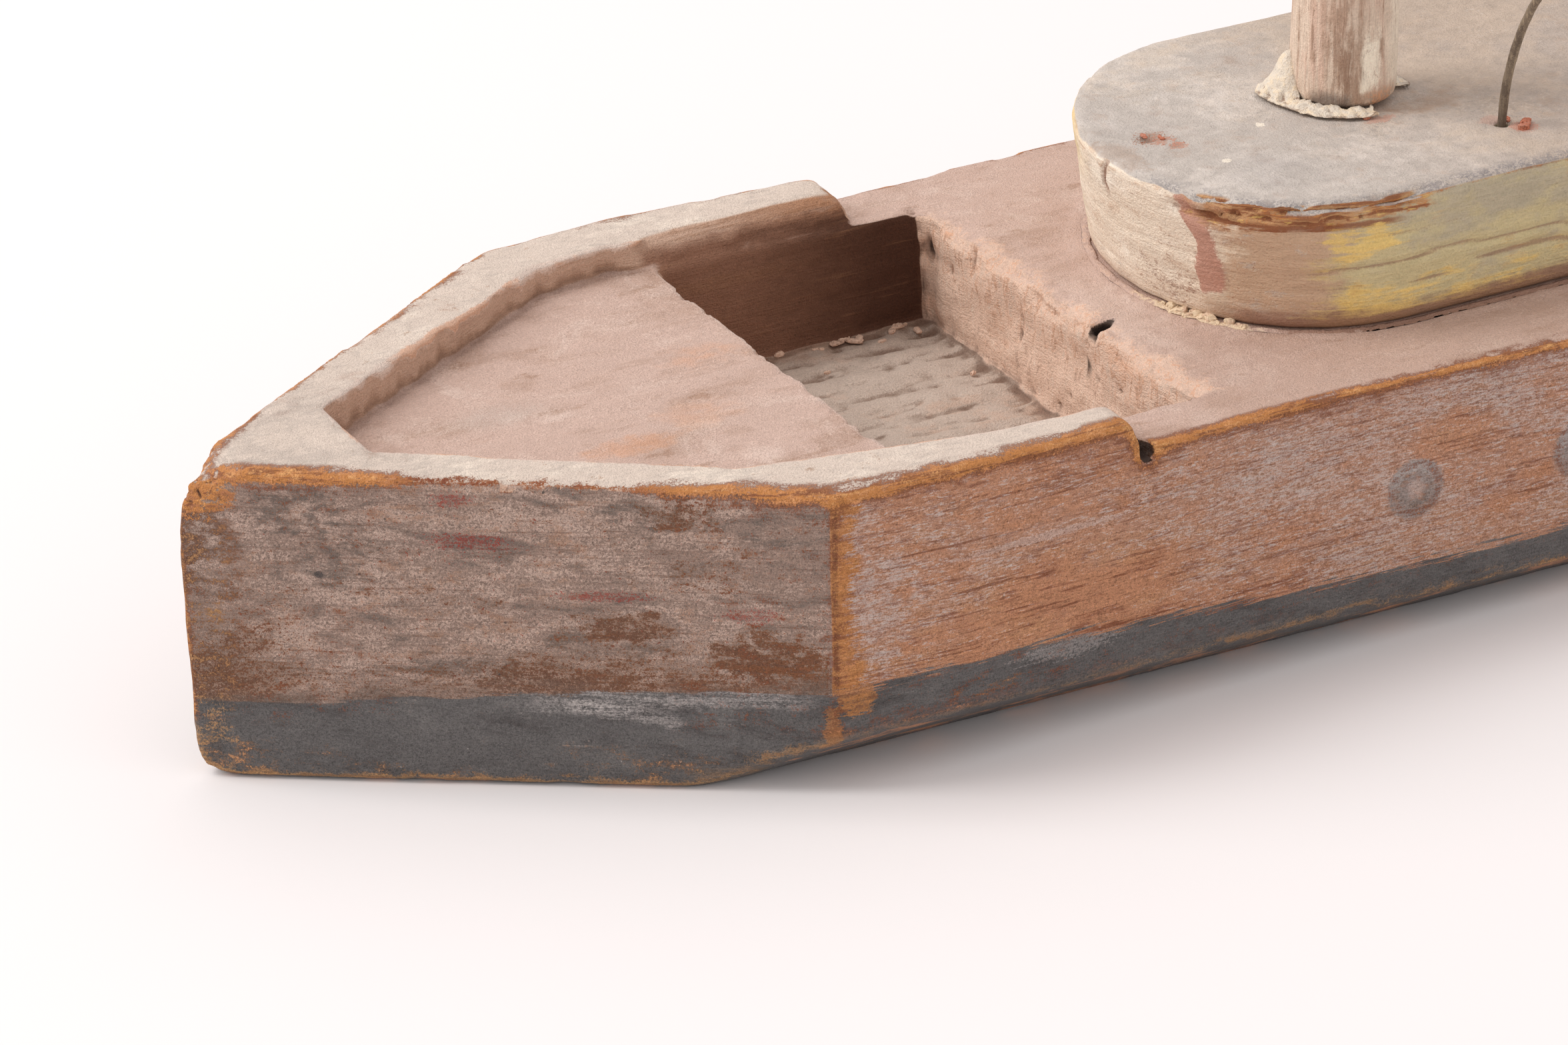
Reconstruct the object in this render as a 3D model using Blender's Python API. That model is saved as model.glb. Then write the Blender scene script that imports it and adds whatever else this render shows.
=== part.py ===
"""Carved wooden toy boat: a one-block hull with a raised bow rim and an open cargo well, a board
deckhouse with rounded ends, a dowel funnel, a bent wire davit, and the nails and glue that hold them.
Metres. +X is forward, +Y is port, +Z is up. The origin is on the ground under the middle of the hull."""
import math

import bmesh
import bpy

MM = 0.001
FIT_GAP = 0.3 * MM              # left between any two pieces that touch

# Hull block
HULL_LENGTH = 381 * MM
STEM_X = HULL_LENGTH / 2
STERN_X = -HULL_LENGTH / 2
FORE_X = STEM_X - 3 * MM        # lengths aft are measured from here, just inside the sharp stem
RIM_Z = 40 * MM                 # top of the bow rim
STEM_Z = 41.6 * MM              # the rim rises a little to the stem
DECK_Z = 36 * MM                # main deck and foredeck
# Hand-sawn sides: distance aft of FORE_X, and the half-beam there
PORT_SIDE = ((61.8 * MM, 42.7 * MM), (78 * MM, 44.0 * MM), (132 * MM, 42.9 * MM), (170 * MM, 44.2 * MM))
STARBOARD_SIDE = ((57.6 * MM, 42.8 * MM), (75 * MM, 44.0 * MM), (107 * MM, 42.4 * MM), (146 * MM, 44.2 * MM))
QUARTER_CUT = 20 * MM           # how far forward of the transom the stern corners are sawn off
QUARTER_HALF_BEAM = 43 * MM
TRANSOM_HALF_WIDTH = 27 * MM
FOREFOOT_RADIUS = 4.5 * MM      # rounding where the stem meets the bottom

# Bevel along the lower edge of each side: lowest amidships, higher towards both ends
CHINE_HALF_BEAM = 43.5 * MM
CHINE_HEIGHT_MIDDLE = 4.3 * MM
CHINE_RISE = 0.0257             # metres of height for each metre from the middle
CHINE_SLOPE = 0.75

# Aft ends of the rim, sloped and rounded off, and a saw kerf at the foot of the port one
RIM_END_PORT_X = FORE_X - 103.4 * MM
RIM_END_STARBOARD_X = FORE_X - 106.9 * MM
RIM_END_SLOPE = 0.6 * MM
RIM_END_RADIUS = 2.6 * MM
KERF_LENGTH = 1.8 * MM
KERF_DEPTH = 2.2 * MM

# Bow recess inside the rim: distance aft of FORE_X, and the half-width there. To starboard of the well
# the side of the recess goes straight up to RIM_WEAR_Z and then leans outwards, as a worn edge; the last
# two rows give the half-widths at that height and at RECESS_TOP_Z.
RIM_WEAR_Z = 38.2 * MM
RECESS_TOP_Z = 50 * MM
RECESS_PORT = ((19.6 * MM, 6.4 * MM), (55.2 * MM, 30.3 * MM), (87 * MM, 37.0 * MM), (125 * MM, 38.0 * MM))
RECESS_STARBOARD = ((19.6 * MM, 7.2 * MM), (60.3 * MM, 33.0 * MM), (72 * MM, 35.0 * MM),
                    (77.3 * MM, 33.3 * MM), (125 * MM, 33.3 * MM))
RECESS_STARBOARD_WEAR = ((19.6 * MM, 7.2 * MM), (60.3 * MM, 33.0 * MM), (72 * MM, 35.0 * MM),
                         (77.3 * MM, 34.0 * MM), (125 * MM, 34.0 * MM))
RECESS_STARBOARD_TOP = ((19.6 * MM, 7.2 * MM), (60.3 * MM, 33.0 * MM), (72 * MM, 35.0 * MM),
                        (77.3 * MM, 46.0 * MM), (125 * MM, 46.0 * MM))

# Cargo well cut down behind the foredeck
WELL_FRONT_X = FORE_X - 77.5 * MM
WELL_AFT_X = FORE_X - 115.8 * MM
WELL_FLOOR_Z = 20 * MM
WELL_PORT_Y = 35.0 * MM
WELL_STARBOARD_Y = -33.2 * MM
WELL_FLOOR_INSET = 1.0 * MM

# Old fixing holes in the deck just behind the well
SLOT_X = FORE_X - 117.2 * MM
SLOT_Y = 10.4 * MM
SLOT_LENGTH = 4.8 * MM
SLOT_WIDTH = 1.6 * MM
SLOT_DEPTH = 5 * MM
SLOT_LEAN = 1.2                  # how far aft it goes for each millimetre down
SLOT_TURN = math.radians(12)    # its forward end lies further to port

# Deckhouse board
HOUSE_FRONT_X = FORE_X - 123.8 * MM
HOUSE_LENGTH = 150 * MM
HOUSE_REAR_X = HOUSE_FRONT_X - HOUSE_LENGTH
HOUSE_HALF_WIDTH = 30.3 * MM
HOUSE_END_LENGTH = 26.5 * MM    # length of each rounded end
HOUSE_SKEW = 0.08               # the front is sawn slightly out of square, port side leading
HOUSE_ROOF_Z = 54 * MM
HOUSE_RAKE = 2.9 * MM           # the front leans forward towards the roof
HOUSE_FLARE = 0.6 * MM
HOUSE_EDGE_ROUND = 0.9 * MM
END_SEGMENTS = 16

# Dowel funnel
FUNNEL_X = FORE_X - 161 * MM
FUNNEL_Y = -1 * MM
FUNNEL_BASE_RADIUS = 7.0 * MM
FUNNEL_TOP_RADIUS = 6.6 * MM
FUNNEL_HEIGHT = 50 * MM
FUNNEL_FOOT_ROUND = 1.5 * MM
FUNNEL_LIP_ROUND = 0.7 * MM
FUNNEL_SIDES = 32

# Wire davit driven into the roof and bent outboard
WIRE_RADIUS = 0.6 * MM
DAVIT_X = FORE_X - 172.7 * MM
DAVIT_Y = 17.7 * MM
DAVIT_BURIED = 10 * MM
DAVIT_BEND_RADIUS = 30 * MM
DAVIT_REACH_Y = 43.3 * MM
DAVIT_STRAIGHT = 1.5 * MM       # stands straight above the roof before the bend

# Wire nails: two hold the deckhouse down, one holds the funnel up
LONG_NAIL_LENGTH = 50 * MM
LONG_NAIL_RADIUS = 1.4 * MM
LONG_NAIL_HEAD_RADIUS = 2.9 * MM
LONG_NAIL_HEAD_Z = 0.8 * MM     # the heads are sunk just below the bottom
LONG_NAIL_X = {"deckhouse_nail_fore": 46 * MM, "deckhouse_nail_aft": -66 * MM}
FUNNEL_NAIL_LENGTH = 34 * MM
FUNNEL_NAIL_RADIUS = 0.9 * MM
FUNNEL_NAIL_HEAD_RADIUS = 2.1 * MM
NAIL_HEAD_THICKNESS = 1.0 * MM
NAIL_POINT_LENGTH = 3 * MM
NAIL_SIDES = 16

# Glue around the funnel's foot: a thin crust with one thick wedge, open on the port quarter
GLUE_START = math.radians(-200)
GLUE_END = math.radians(88)
GLUE_CRUST_HEIGHT = 0.9 * MM
GLUE_CRUST_WIDTH = 2.2 * MM
GLUE_WEDGE_ANGLE = math.radians(-28)
GLUE_WEDGE_SPREAD = math.radians(20)
GLUE_WEDGE_HEIGHT = 5.2 * MM
GLUE_WEDGE_WIDTH = 2.0 * MM
GLUE_SEGMENTS = 32

# Filler fillet along the foot of the deckhouse
FILLET_WIDTH = 1.0 * MM
FILLET_HEIGHT = 1.1 * MM

COLOURS = {                     # linear colour, roughness, metallic
    "hull_wood": ((0.36, 0.22, 0.15), 0.75, 0.0),
    "deckhouse_wood": ((0.45, 0.42, 0.36), 0.75, 0.0),
    "funnel_wood": ((0.38, 0.28, 0.22), 0.8, 0.0),
    "davit_steel": ((0.12, 0.10, 0.085), 0.55, 0.8),
    "nail_steel": ((0.22, 0.17, 0.14), 0.6, 0.8),
    "glue": ((0.72, 0.60, 0.40), 0.6, 0.0),
    "filler": ((0.60, 0.42, 0.28), 0.7, 0.0),
}


def clear_scene():
    for old in list(bpy.data.objects):
        bpy.data.objects.remove(old, do_unlink=True)


def make_materials():
    made = {}
    for name, (colour, roughness, metallic) in COLOURS.items():
        material = bpy.data.materials.new(name)
        material.use_nodes = True
        shader = material.node_tree.nodes["Principled BSDF"]
        shader.inputs["Base Color"].default_value = (*colour, 1.0)
        shader.inputs["Roughness"].default_value = roughness
        shader.inputs["Metallic"].default_value = metallic
        made[name] = material
    return made


def add_object(name, data):
    piece = bpy.data.objects.new(name, data)
    bpy.context.scene.collection.objects.link(piece)
    return piece


def ring_solid(name, rings, closed=False):
    """A solid through rings of points. Its two ends are capped, unless the rings close on themselves."""
    bm = bmesh.new()
    loops = [[bm.verts.new(point) for point in ring] for ring in rings]
    following = loops[1:] + loops[:1] if closed else loops[1:]
    for first, second in zip(loops, following):
        for i, corner in enumerate(first):
            j = (i + 1) % len(first)
            bm.faces.new((corner, first[j], second[j], second[i]))
    if not closed:
        bm.faces.new(loops[0])
        bm.faces.new(loops[-1])
    bmesh.ops.recalc_face_normals(bm, faces=bm.faces)
    mesh = bpy.data.meshes.new(name)
    bm.to_mesh(mesh)
    bm.free()
    return add_object(name, mesh)


def turned_solid(name, profile, x, y, sides):
    """A round solid about an upright axis. The profile is (radius, z) from the bottom to the top."""
    rings = []
    for radius, z in profile:
        ring = []
        for i in range(sides):
            angle = 2 * math.pi * i / sides
            ring.append((x + radius * math.cos(angle), y + radius * math.sin(angle), z))
        rings.append(ring)
    return ring_solid(name, rings)


def shade_round(piece):
    piece.data.shade_smooth()
    piece.data.set_sharp_from_angle(angle=math.radians(40))


def make_cutter(piece):
    piece.hide_render = True
    piece.display_type = "WIRE"
    return piece


def cut(piece, cutter):
    boolean = piece.modifiers.new("cut_" + cutter.name, "BOOLEAN")
    boolean.operation = "DIFFERENCE"
    boolean.solver = "EXACT"
    boolean.object = make_cutter(cutter)


def arc(centre, radius, start, end, count):
    """Points of an arc in a plane, from one angle in degrees to another."""
    points = []
    for i in range(count + 1):
        angle = math.radians(start + (end - start) * i / count)
        points.append((centre[0] + radius * math.cos(angle), centre[1] + radius * math.sin(angle)))
    return points


def across(profile, half_width, shift=None):
    """Two rings that carry an (x, z) profile from starboard to port; shift moves points in x by side."""
    rings = []
    for side in (-1, 1):
        moved = [(x + (shift(x, side) if shift else 0.0), side * half_width, z) for x, z in profile]
        rings.append(moved)
    return rings


# Hull -------------------------------------------------------------------------------------------

def hull_outline():
    port = [(FORE_X - aft, half_beam) for aft, half_beam in PORT_SIDE]
    port += [(STERN_X + QUARTER_CUT, QUARTER_HALF_BEAM), (STERN_X, TRANSOM_HALF_WIDTH)]
    starboard = [(FORE_X - aft, -half_beam) for aft, half_beam in STARBOARD_SIDE]
    starboard += [(STERN_X + QUARTER_CUT, -QUARTER_HALF_BEAM), (STERN_X, -TRANSOM_HALF_WIDTH)]
    return [(STEM_X, 0.0)] + port + starboard[::-1]


def deck_cutter():
    """Everything above the deck and the rim, whose aft ends stand a little out of square."""
    middle = (RIM_END_PORT_X + RIM_END_STARBOARD_X) / 2
    skew = (RIM_END_PORT_X - RIM_END_STARBOARD_X) / 2
    half_width = 60 * MM
    side_y = 43 * MM
    top = middle + RIM_END_SLOPE + RIM_END_RADIUS
    rounded = [(x, z) for x, z in arc((top, RIM_Z - RIM_END_RADIUS), RIM_END_RADIUS, 180, 90, 5)]
    shoulder_x = FORE_X - PORT_SIDE[0][0]
    profile = [(STERN_X - 10 * MM, DECK_Z), (middle, DECK_Z)] + rounded
    profile += [(shoulder_x, RIM_Z), (STEM_X, STEM_Z), (STEM_X + 10 * MM, STEM_Z)]
    profile += [(STEM_X + 10 * MM, 60 * MM), (STERN_X - 10 * MM, 60 * MM)]

    def shift(x, side):
        return side * skew * half_width / side_y if middle <= x <= top else 0.0

    return ring_solid("deck_cutter", across(profile, half_width, shift))


def forefoot_cutter():
    """Rounds the corner between the stem and the bottom."""
    outside = 5 * MM
    centre = (STEM_X - FOREFOOT_RADIUS, FOREFOOT_RADIUS)
    profile = arc(centre, FOREFOOT_RADIUS, 0, -90, 6)
    profile += [(STEM_X - FOREFOOT_RADIUS, -outside), (STEM_X + outside, -outside)]
    profile += [(STEM_X + outside, FOREFOOT_RADIUS)]
    return ring_solid("forefoot_cutter", across(profile, 30 * MM))


def chine_cutter(name, side):
    """A long wedge that bevels the lower edge of one side."""
    reach = STEM_X + 10 * MM
    below = 5 * MM
    beyond = 10 * MM
    rings = []
    for x in (-reach, 0.0, reach):
        height = CHINE_HEIGHT_MIDDLE + CHINE_RISE * abs(x)
        inner = CHINE_HALF_BEAM - (height + below) / CHINE_SLOPE
        outer = CHINE_HALF_BEAM + beyond
        ring = [(inner, -below), (outer, height + beyond * CHINE_SLOPE), (outer, -below)]
        rings.append([(x, side * y, z) for y, z in ring])
    return ring_solid(name, rings)


def recess_cutter():
    port = [(FORE_X - aft, half_width) for aft, half_width in RECESS_PORT]
    rings = []
    levels = ((DECK_Z, RECESS_STARBOARD), (RIM_WEAR_Z, RECESS_STARBOARD_WEAR),
              (RECESS_TOP_Z, RECESS_STARBOARD_TOP))
    for z, starboard_widths in levels:
        starboard = [(FORE_X - aft, -half_width) for aft, half_width in starboard_widths]
        rings.append([(x, y, z) for x, y in port + starboard[::-1]])
    return ring_solid("recess_cutter", rings)


def well_cutter():
    """The well narrows slightly towards its floor, and its floor is a little longer than its mouth."""
    inset = WELL_FLOOR_INSET
    floor = [(WELL_FRONT_X, WELL_PORT_Y - inset), (WELL_AFT_X - inset, WELL_PORT_Y - inset),
             (WELL_AFT_X - inset, WELL_STARBOARD_Y + inset), (WELL_FRONT_X, WELL_STARBOARD_Y + inset)]
    mouth = [(WELL_FRONT_X, WELL_PORT_Y), (WELL_AFT_X, WELL_PORT_Y),
             (WELL_AFT_X, WELL_STARBOARD_Y), (WELL_FRONT_X, WELL_STARBOARD_Y)]
    rings = [[(x, y, WELL_FLOOR_Z) for x, y in floor], [(x, y, 50 * MM) for x, y in mouth]]
    return ring_solid("well_cutter", rings)


def kerf_cutter():
    """The overrun of the saw in the side, at the foot of the rim's port end."""
    outline = [(RIM_END_PORT_X - KERF_LENGTH, 41 * MM), (RIM_END_PORT_X + 0.2 * MM, 41 * MM),
               (RIM_END_PORT_X + 0.2 * MM, 50 * MM), (RIM_END_PORT_X - KERF_LENGTH, 50 * MM)]
    levels = (DECK_Z - KERF_DEPTH, DECK_Z + 1 * MM)
    return ring_solid("kerf_cutter", [[(x, y, z) for x, y in outline] for z in levels])


def slot_cutter():
    """A narrow slot with round ends, along the boat, that leans aft as it goes down."""
    radius = SLOT_WIDTH / 2
    straight = SLOT_LENGTH / 2 - radius
    outline = arc((straight, 0.0), radius, -90, 90, 6) + arc((-straight, 0.0), radius, 90, 270, 6)
    rings = []
    for above_deck in (-SLOT_DEPTH, 2 * MM):
        rings.append([(x + above_deck * SLOT_LEAN, y, DECK_Z + above_deck) for x, y in outline])
    cutter = ring_solid("slot_cutter", rings)
    cutter.location = (SLOT_X, SLOT_Y, 0.0)
    cutter.rotation_euler = (0.0, 0.0, SLOT_TURN)
    return cutter


def make_hull():
    outline = hull_outline()
    hull = ring_solid("hull", [[(x, y, z) for x, y in outline] for z in (0.0, 45 * MM)])
    cut(hull, deck_cutter())
    cut(hull, forefoot_cutter())
    cut(hull, chine_cutter("port_chine_cutter", 1))
    cut(hull, chine_cutter("starboard_chine_cutter", -1))
    cut(hull, recess_cutter())
    cut(hull, well_cutter())
    cut(hull, kerf_cutter())
    cut(hull, slot_cutter())
    for name, x in LONG_NAIL_X.items():
        cut(hull, long_nail_hole(name + "_hull_hole", x))
    return hull


# Deckhouse --------------------------------------------------------------------------------------

def house_outline(z, offset=0.0):
    """The deckhouse's outline at a height, or a line that runs outside it by an offset."""
    drop = (HOUSE_ROOF_Z - z) / (HOUSE_ROOF_Z - DECK_Z)
    front = HOUSE_FRONT_X - HOUSE_RAKE * drop + offset
    rear = HOUSE_REAR_X - offset
    half_width = HOUSE_HALF_WIDTH - HOUSE_FLARE * drop + offset
    end_length = HOUSE_END_LENGTH + offset
    points = []
    for i in range(END_SEGMENTS + 1):
        angle = math.pi * (i / END_SEGMENTS - 0.5)
        y = half_width * math.sin(angle)
        points.append((front - end_length * (1 - math.cos(angle)) + HOUSE_SKEW * y, y, z))
    for i in range(END_SEGMENTS + 1):
        angle = math.pi * (0.5 - i / END_SEGMENTS)
        points.append((rear + end_length * (1 - math.cos(angle)), half_width * math.sin(angle), z))
    return points


def make_deckhouse():
    house = ring_solid("deckhouse", [house_outline(DECK_Z + FIT_GAP), house_outline(HOUSE_ROOF_Z)])
    edges = house.modifiers.new("worn_edges", "BEVEL")
    edges.width = HOUSE_EDGE_ROUND
    edges.segments = 2
    edges.limit_method = "ANGLE"
    edges.angle_limit = math.radians(60)
    hole = [(WIRE_RADIUS + FIT_GAP, HOUSE_ROOF_Z - DAVIT_BURIED - FIT_GAP)]
    hole += [(WIRE_RADIUS + FIT_GAP, HOUSE_ROOF_Z + 2 * MM)]
    cut(house, turned_solid("davit_hole", hole, DAVIT_X, DAVIT_Y, NAIL_SIDES))
    for name, x in LONG_NAIL_X.items():
        cut(house, long_nail_hole(name + "_house_hole", x))
    cut(house, funnel_nail_hole("funnel_nail_house_hole"))
    return house


# Funnel, davit and nails ------------------------------------------------------------------------

def make_funnel():
    """A dowel with its foot and lip rounded over, drilled up the middle for its nail."""
    foot_z = HOUSE_ROOF_Z + FIT_GAP
    top_z = HOUSE_ROOF_Z + FUNNEL_HEIGHT
    profile = []
    for i in range(5):
        angle = math.radians(90 * i / 4)
        radius = FUNNEL_BASE_RADIUS - FUNNEL_FOOT_ROUND * (1 - math.sin(angle))
        profile.append((radius, foot_z + FUNNEL_FOOT_ROUND * (1 - math.cos(angle))))
    for i in range(4):
        angle = math.radians(90 * i / 3)
        radius = FUNNEL_TOP_RADIUS - FUNNEL_LIP_ROUND * (1 - math.cos(angle))
        profile.append((radius, top_z - FUNNEL_LIP_ROUND * (1 - math.sin(angle))))
    funnel = turned_solid("funnel", profile, FUNNEL_X, FUNNEL_Y, FUNNEL_SIDES)
    shade_round(funnel)
    cut(funnel, funnel_nail_hole("funnel_nail_hole"))
    return funnel


def make_davit():
    """A wire that stands up from the roof and bends outboard in a quarter circle."""
    bottom_z = HOUSE_ROOF_Z - DAVIT_BURIED
    bend_z = HOUSE_ROOF_Z + DAVIT_STRAIGHT
    reach = DAVIT_REACH_Y - DAVIT_Y
    bend_angle = math.acos(1 - reach / DAVIT_BEND_RADIUS)
    points = [(DAVIT_X, DAVIT_Y, bottom_z + (bend_z - bottom_z) * i / 4) for i in range(4)]
    steps = 18
    for i in range(steps + 1):
        angle = bend_angle * i / steps
        y = DAVIT_Y + DAVIT_BEND_RADIUS * (1 - math.cos(angle))
        points.append((DAVIT_X, y, bend_z + DAVIT_BEND_RADIUS * math.sin(angle)))
    curve = bpy.data.curves.new("davit_wire", "CURVE")
    curve.dimensions = "3D"
    curve.bevel_depth = WIRE_RADIUS
    curve.bevel_resolution = 3
    curve.use_fill_caps = True
    spline = curve.splines.new("POLY")
    spline.points.add(len(points) - 1)
    for target, point in zip(spline.points, points):
        target.co = (*point, 1.0)
    return add_object("davit_wire", curve)


def nail_profile(radius, head_radius, head_z, length):
    """A flat-headed wire nail, point up."""
    under_head = head_z + NAIL_HEAD_THICKNESS
    tip = head_z + length
    return [(head_radius, head_z), (head_radius, under_head), (radius, under_head + 0.2 * MM),
            (radius, tip - NAIL_POINT_LENGTH), (radius * 0.2, tip)]


def hole_profile(radius, head_radius, head_z, length, mouth_z):
    """The clearance hole for a nail, with a wider mouth around its head."""
    shoulder = head_z + NAIL_HEAD_THICKNESS + FIT_GAP
    wide = head_radius + FIT_GAP
    narrow = radius + FIT_GAP
    return [(wide, mouth_z), (wide, shoulder), (narrow, shoulder + 0.2 * MM), (narrow, head_z + length + FIT_GAP)]


def make_long_nail(name, x):
    profile = nail_profile(LONG_NAIL_RADIUS, LONG_NAIL_HEAD_RADIUS, LONG_NAIL_HEAD_Z, LONG_NAIL_LENGTH)
    return turned_solid(name, profile, x, 0.0, NAIL_SIDES)


def long_nail_hole(name, x):
    profile = hole_profile(LONG_NAIL_RADIUS, LONG_NAIL_HEAD_RADIUS, LONG_NAIL_HEAD_Z, LONG_NAIL_LENGTH, -2 * MM)
    return turned_solid(name, profile, x, 0.0, NAIL_SIDES)


def funnel_nail_head_z():
    return DECK_Z + 2 * FIT_GAP


def make_funnel_nail():
    profile = nail_profile(FUNNEL_NAIL_RADIUS, FUNNEL_NAIL_HEAD_RADIUS, funnel_nail_head_z(), FUNNEL_NAIL_LENGTH)
    return turned_solid("funnel_nail", profile, FUNNEL_X, FUNNEL_Y, NAIL_SIDES)


def funnel_nail_hole(name):
    mouth_z = DECK_Z - 1 * MM
    profile = hole_profile(FUNNEL_NAIL_RADIUS, FUNNEL_NAIL_HEAD_RADIUS, funnel_nail_head_z(),
                           FUNNEL_NAIL_LENGTH, mouth_z)
    return turned_solid(name, profile, FUNNEL_X, FUNNEL_Y, NAIL_SIDES)


# Glue -------------------------------------------------------------------------------------------

def make_funnel_glue():
    """A ring of squeezed-out glue, open on one side, that swells into a wedge forward."""
    inner = FUNNEL_BASE_RADIUS + FIT_GAP
    base_z = HOUSE_ROOF_Z + FIT_GAP
    rings = []
    for i in range(GLUE_SEGMENTS + 1):
        angle = GLUE_START + (GLUE_END - GLUE_START) * i / GLUE_SEGMENTS
        swell = math.exp(-((angle - GLUE_WEDGE_ANGLE) / GLUE_WEDGE_SPREAD) ** 2)
        height = GLUE_CRUST_HEIGHT + GLUE_WEDGE_HEIGHT * swell
        width = GLUE_CRUST_WIDTH + GLUE_WEDGE_WIDTH * swell
        section = [(inner, base_z), (inner + width, base_z), (inner + width * 0.45, base_z + height * 0.5),
                   (inner + 0.3 * MM, base_z + height), (inner, base_z + height)]
        ring = [(FUNNEL_X + r * math.cos(angle), FUNNEL_Y + r * math.sin(angle), z) for r, z in section]
        rings.append(ring)
    return ring_solid("funnel_glue", rings)


def make_deckhouse_filler():
    """A small fillet of filler all round the foot of the deckhouse."""
    base_z = DECK_Z + FIT_GAP
    top_z = base_z + FILLET_HEIGHT
    inner = house_outline(base_z, 2 * FIT_GAP)
    outer = house_outline(base_z, 2 * FIT_GAP + FILLET_WIDTH)
    upper = [(x, y, top_z) for x, y, _ in house_outline(top_z, 2 * FIT_GAP)]
    return ring_solid("deckhouse_filler", [list(section) for section in zip(inner, outer, upper)], closed=True)


def main():
    clear_scene()
    materials = make_materials()
    boat = add_object("boat", None)
    pieces = [
        (make_hull(), "hull_wood"),
        (make_deckhouse(), "deckhouse_wood"),
        (make_funnel(), "funnel_wood"),
        (make_davit(), "davit_steel"),
        (make_funnel_nail(), "nail_steel"),
        (make_funnel_glue(), "glue"),
        (make_deckhouse_filler(), "filler"),
    ]
    for name, x in LONG_NAIL_X.items():
        pieces.append((make_long_nail(name, x), "nail_steel"))
    for piece, material in pieces:
        piece.data.materials.append(materials[material])
        piece.parent = boat


main()
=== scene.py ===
import math

import bmesh
import bpy
import numpy as np
from mathutils import Matrix, Vector


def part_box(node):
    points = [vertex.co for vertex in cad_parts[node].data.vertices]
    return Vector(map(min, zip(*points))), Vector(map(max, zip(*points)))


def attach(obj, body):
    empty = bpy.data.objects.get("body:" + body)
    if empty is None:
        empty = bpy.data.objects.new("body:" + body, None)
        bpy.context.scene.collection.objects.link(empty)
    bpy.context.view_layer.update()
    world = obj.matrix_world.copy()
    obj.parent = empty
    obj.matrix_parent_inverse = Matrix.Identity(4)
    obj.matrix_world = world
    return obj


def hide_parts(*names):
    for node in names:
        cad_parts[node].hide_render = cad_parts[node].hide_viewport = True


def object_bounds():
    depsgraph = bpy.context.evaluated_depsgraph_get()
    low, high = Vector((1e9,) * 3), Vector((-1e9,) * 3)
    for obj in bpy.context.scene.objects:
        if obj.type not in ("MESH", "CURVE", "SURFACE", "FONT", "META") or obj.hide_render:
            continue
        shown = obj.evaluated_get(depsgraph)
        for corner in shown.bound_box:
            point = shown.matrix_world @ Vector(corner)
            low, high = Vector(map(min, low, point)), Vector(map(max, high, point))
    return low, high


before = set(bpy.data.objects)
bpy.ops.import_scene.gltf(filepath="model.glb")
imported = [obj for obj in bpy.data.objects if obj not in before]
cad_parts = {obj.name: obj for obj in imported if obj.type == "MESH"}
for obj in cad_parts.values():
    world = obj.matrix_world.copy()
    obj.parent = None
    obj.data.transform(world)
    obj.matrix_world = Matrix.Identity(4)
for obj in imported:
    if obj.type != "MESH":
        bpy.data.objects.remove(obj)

# Lengths in the carving and the materials are millimetres. There x is measured from the fore point just
# inside the stem, so it is negative everywhere aft, y is to port, and z is up from the ground.
MM = 0.001
cad_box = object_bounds()
FORE_X = cad_box[1][0] - 3 * MM
FORE = np.array([FORE_X / MM, 0.0, 0.0])


# ------------------------------------------------------------------ noise and mesh helpers

def lattice_noise(points, cell, seed):
    """Smooth noise from -1 to 1 at each point, on a lattice with that cell (one size, or one per axis)."""
    scaled = points / np.asarray(cell, dtype=float)
    base = np.floor(scaled).astype(np.int64)
    part = scaled - base
    part = part * part * (3 - 2 * part)
    total = np.zeros(len(points))
    for corner in range(8):
        step = np.array([(corner >> 2) & 1, (corner >> 1) & 1, corner & 1])
        key = base + step
        mixed = (key[:, 0] * 73856093) ^ (key[:, 1] * 19349663) ^ (key[:, 2] * 83492791) ^ (seed * 2654435761)
        mixed = ((mixed ^ (mixed >> 13)) * 1274126177) & 0xFFFFFFFF
        value = ((mixed ^ (mixed >> 16)) & 0xFFFF) / 32767.5 - 1
        weight = np.where(step, part, 1 - part).prod(axis=1)
        total += weight * value
    return total


def layered_noise(points, cell, seed, layers=3):
    """Several octaves of lattice noise, each half as large and half as strong."""
    total = 0
    cell = np.asarray(cell, dtype=float)
    for layer in range(layers):
        total = total + lattice_noise(points, cell / 2 ** layer, seed + layer) / 2 ** layer
    return total


def ramp(low, high, value):
    part = np.clip((value - low) / (high - low), 0, 1)
    return part * part * (3 - 2 * part)


def near(points, centre, radii):
    """1 at the centre of an ellipsoid, falling smoothly to 0 at its skin."""
    distance = np.sqrt((((points - np.array(centre)) / np.array(radii)) ** 2).sum(axis=1))
    return 1 - ramp(0.0, 1.0, distance)


def read(items, name, width, kind=float):
    """One attribute of every point, edge or face, with a row of that many numbers for each."""
    values = np.empty(len(items) * width, dtype=kind)
    items.foreach_get(name, values)
    return values.reshape(-1, width)


def get_points(mesh):
    """The mesh's points in millimetres from the fore point."""
    return read(mesh.vertices, "co", 3) / MM - FORE


def set_points(mesh, points):
    mesh.vertices.foreach_set("co", ((points + FORE) * MM).ravel())
    mesh.update()


def get_normals(mesh):
    return read(mesh.vertex_normals, "vector", 3)


def get_edges(mesh):
    return read(mesh.edges, "vertices", 2, np.int64)


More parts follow.
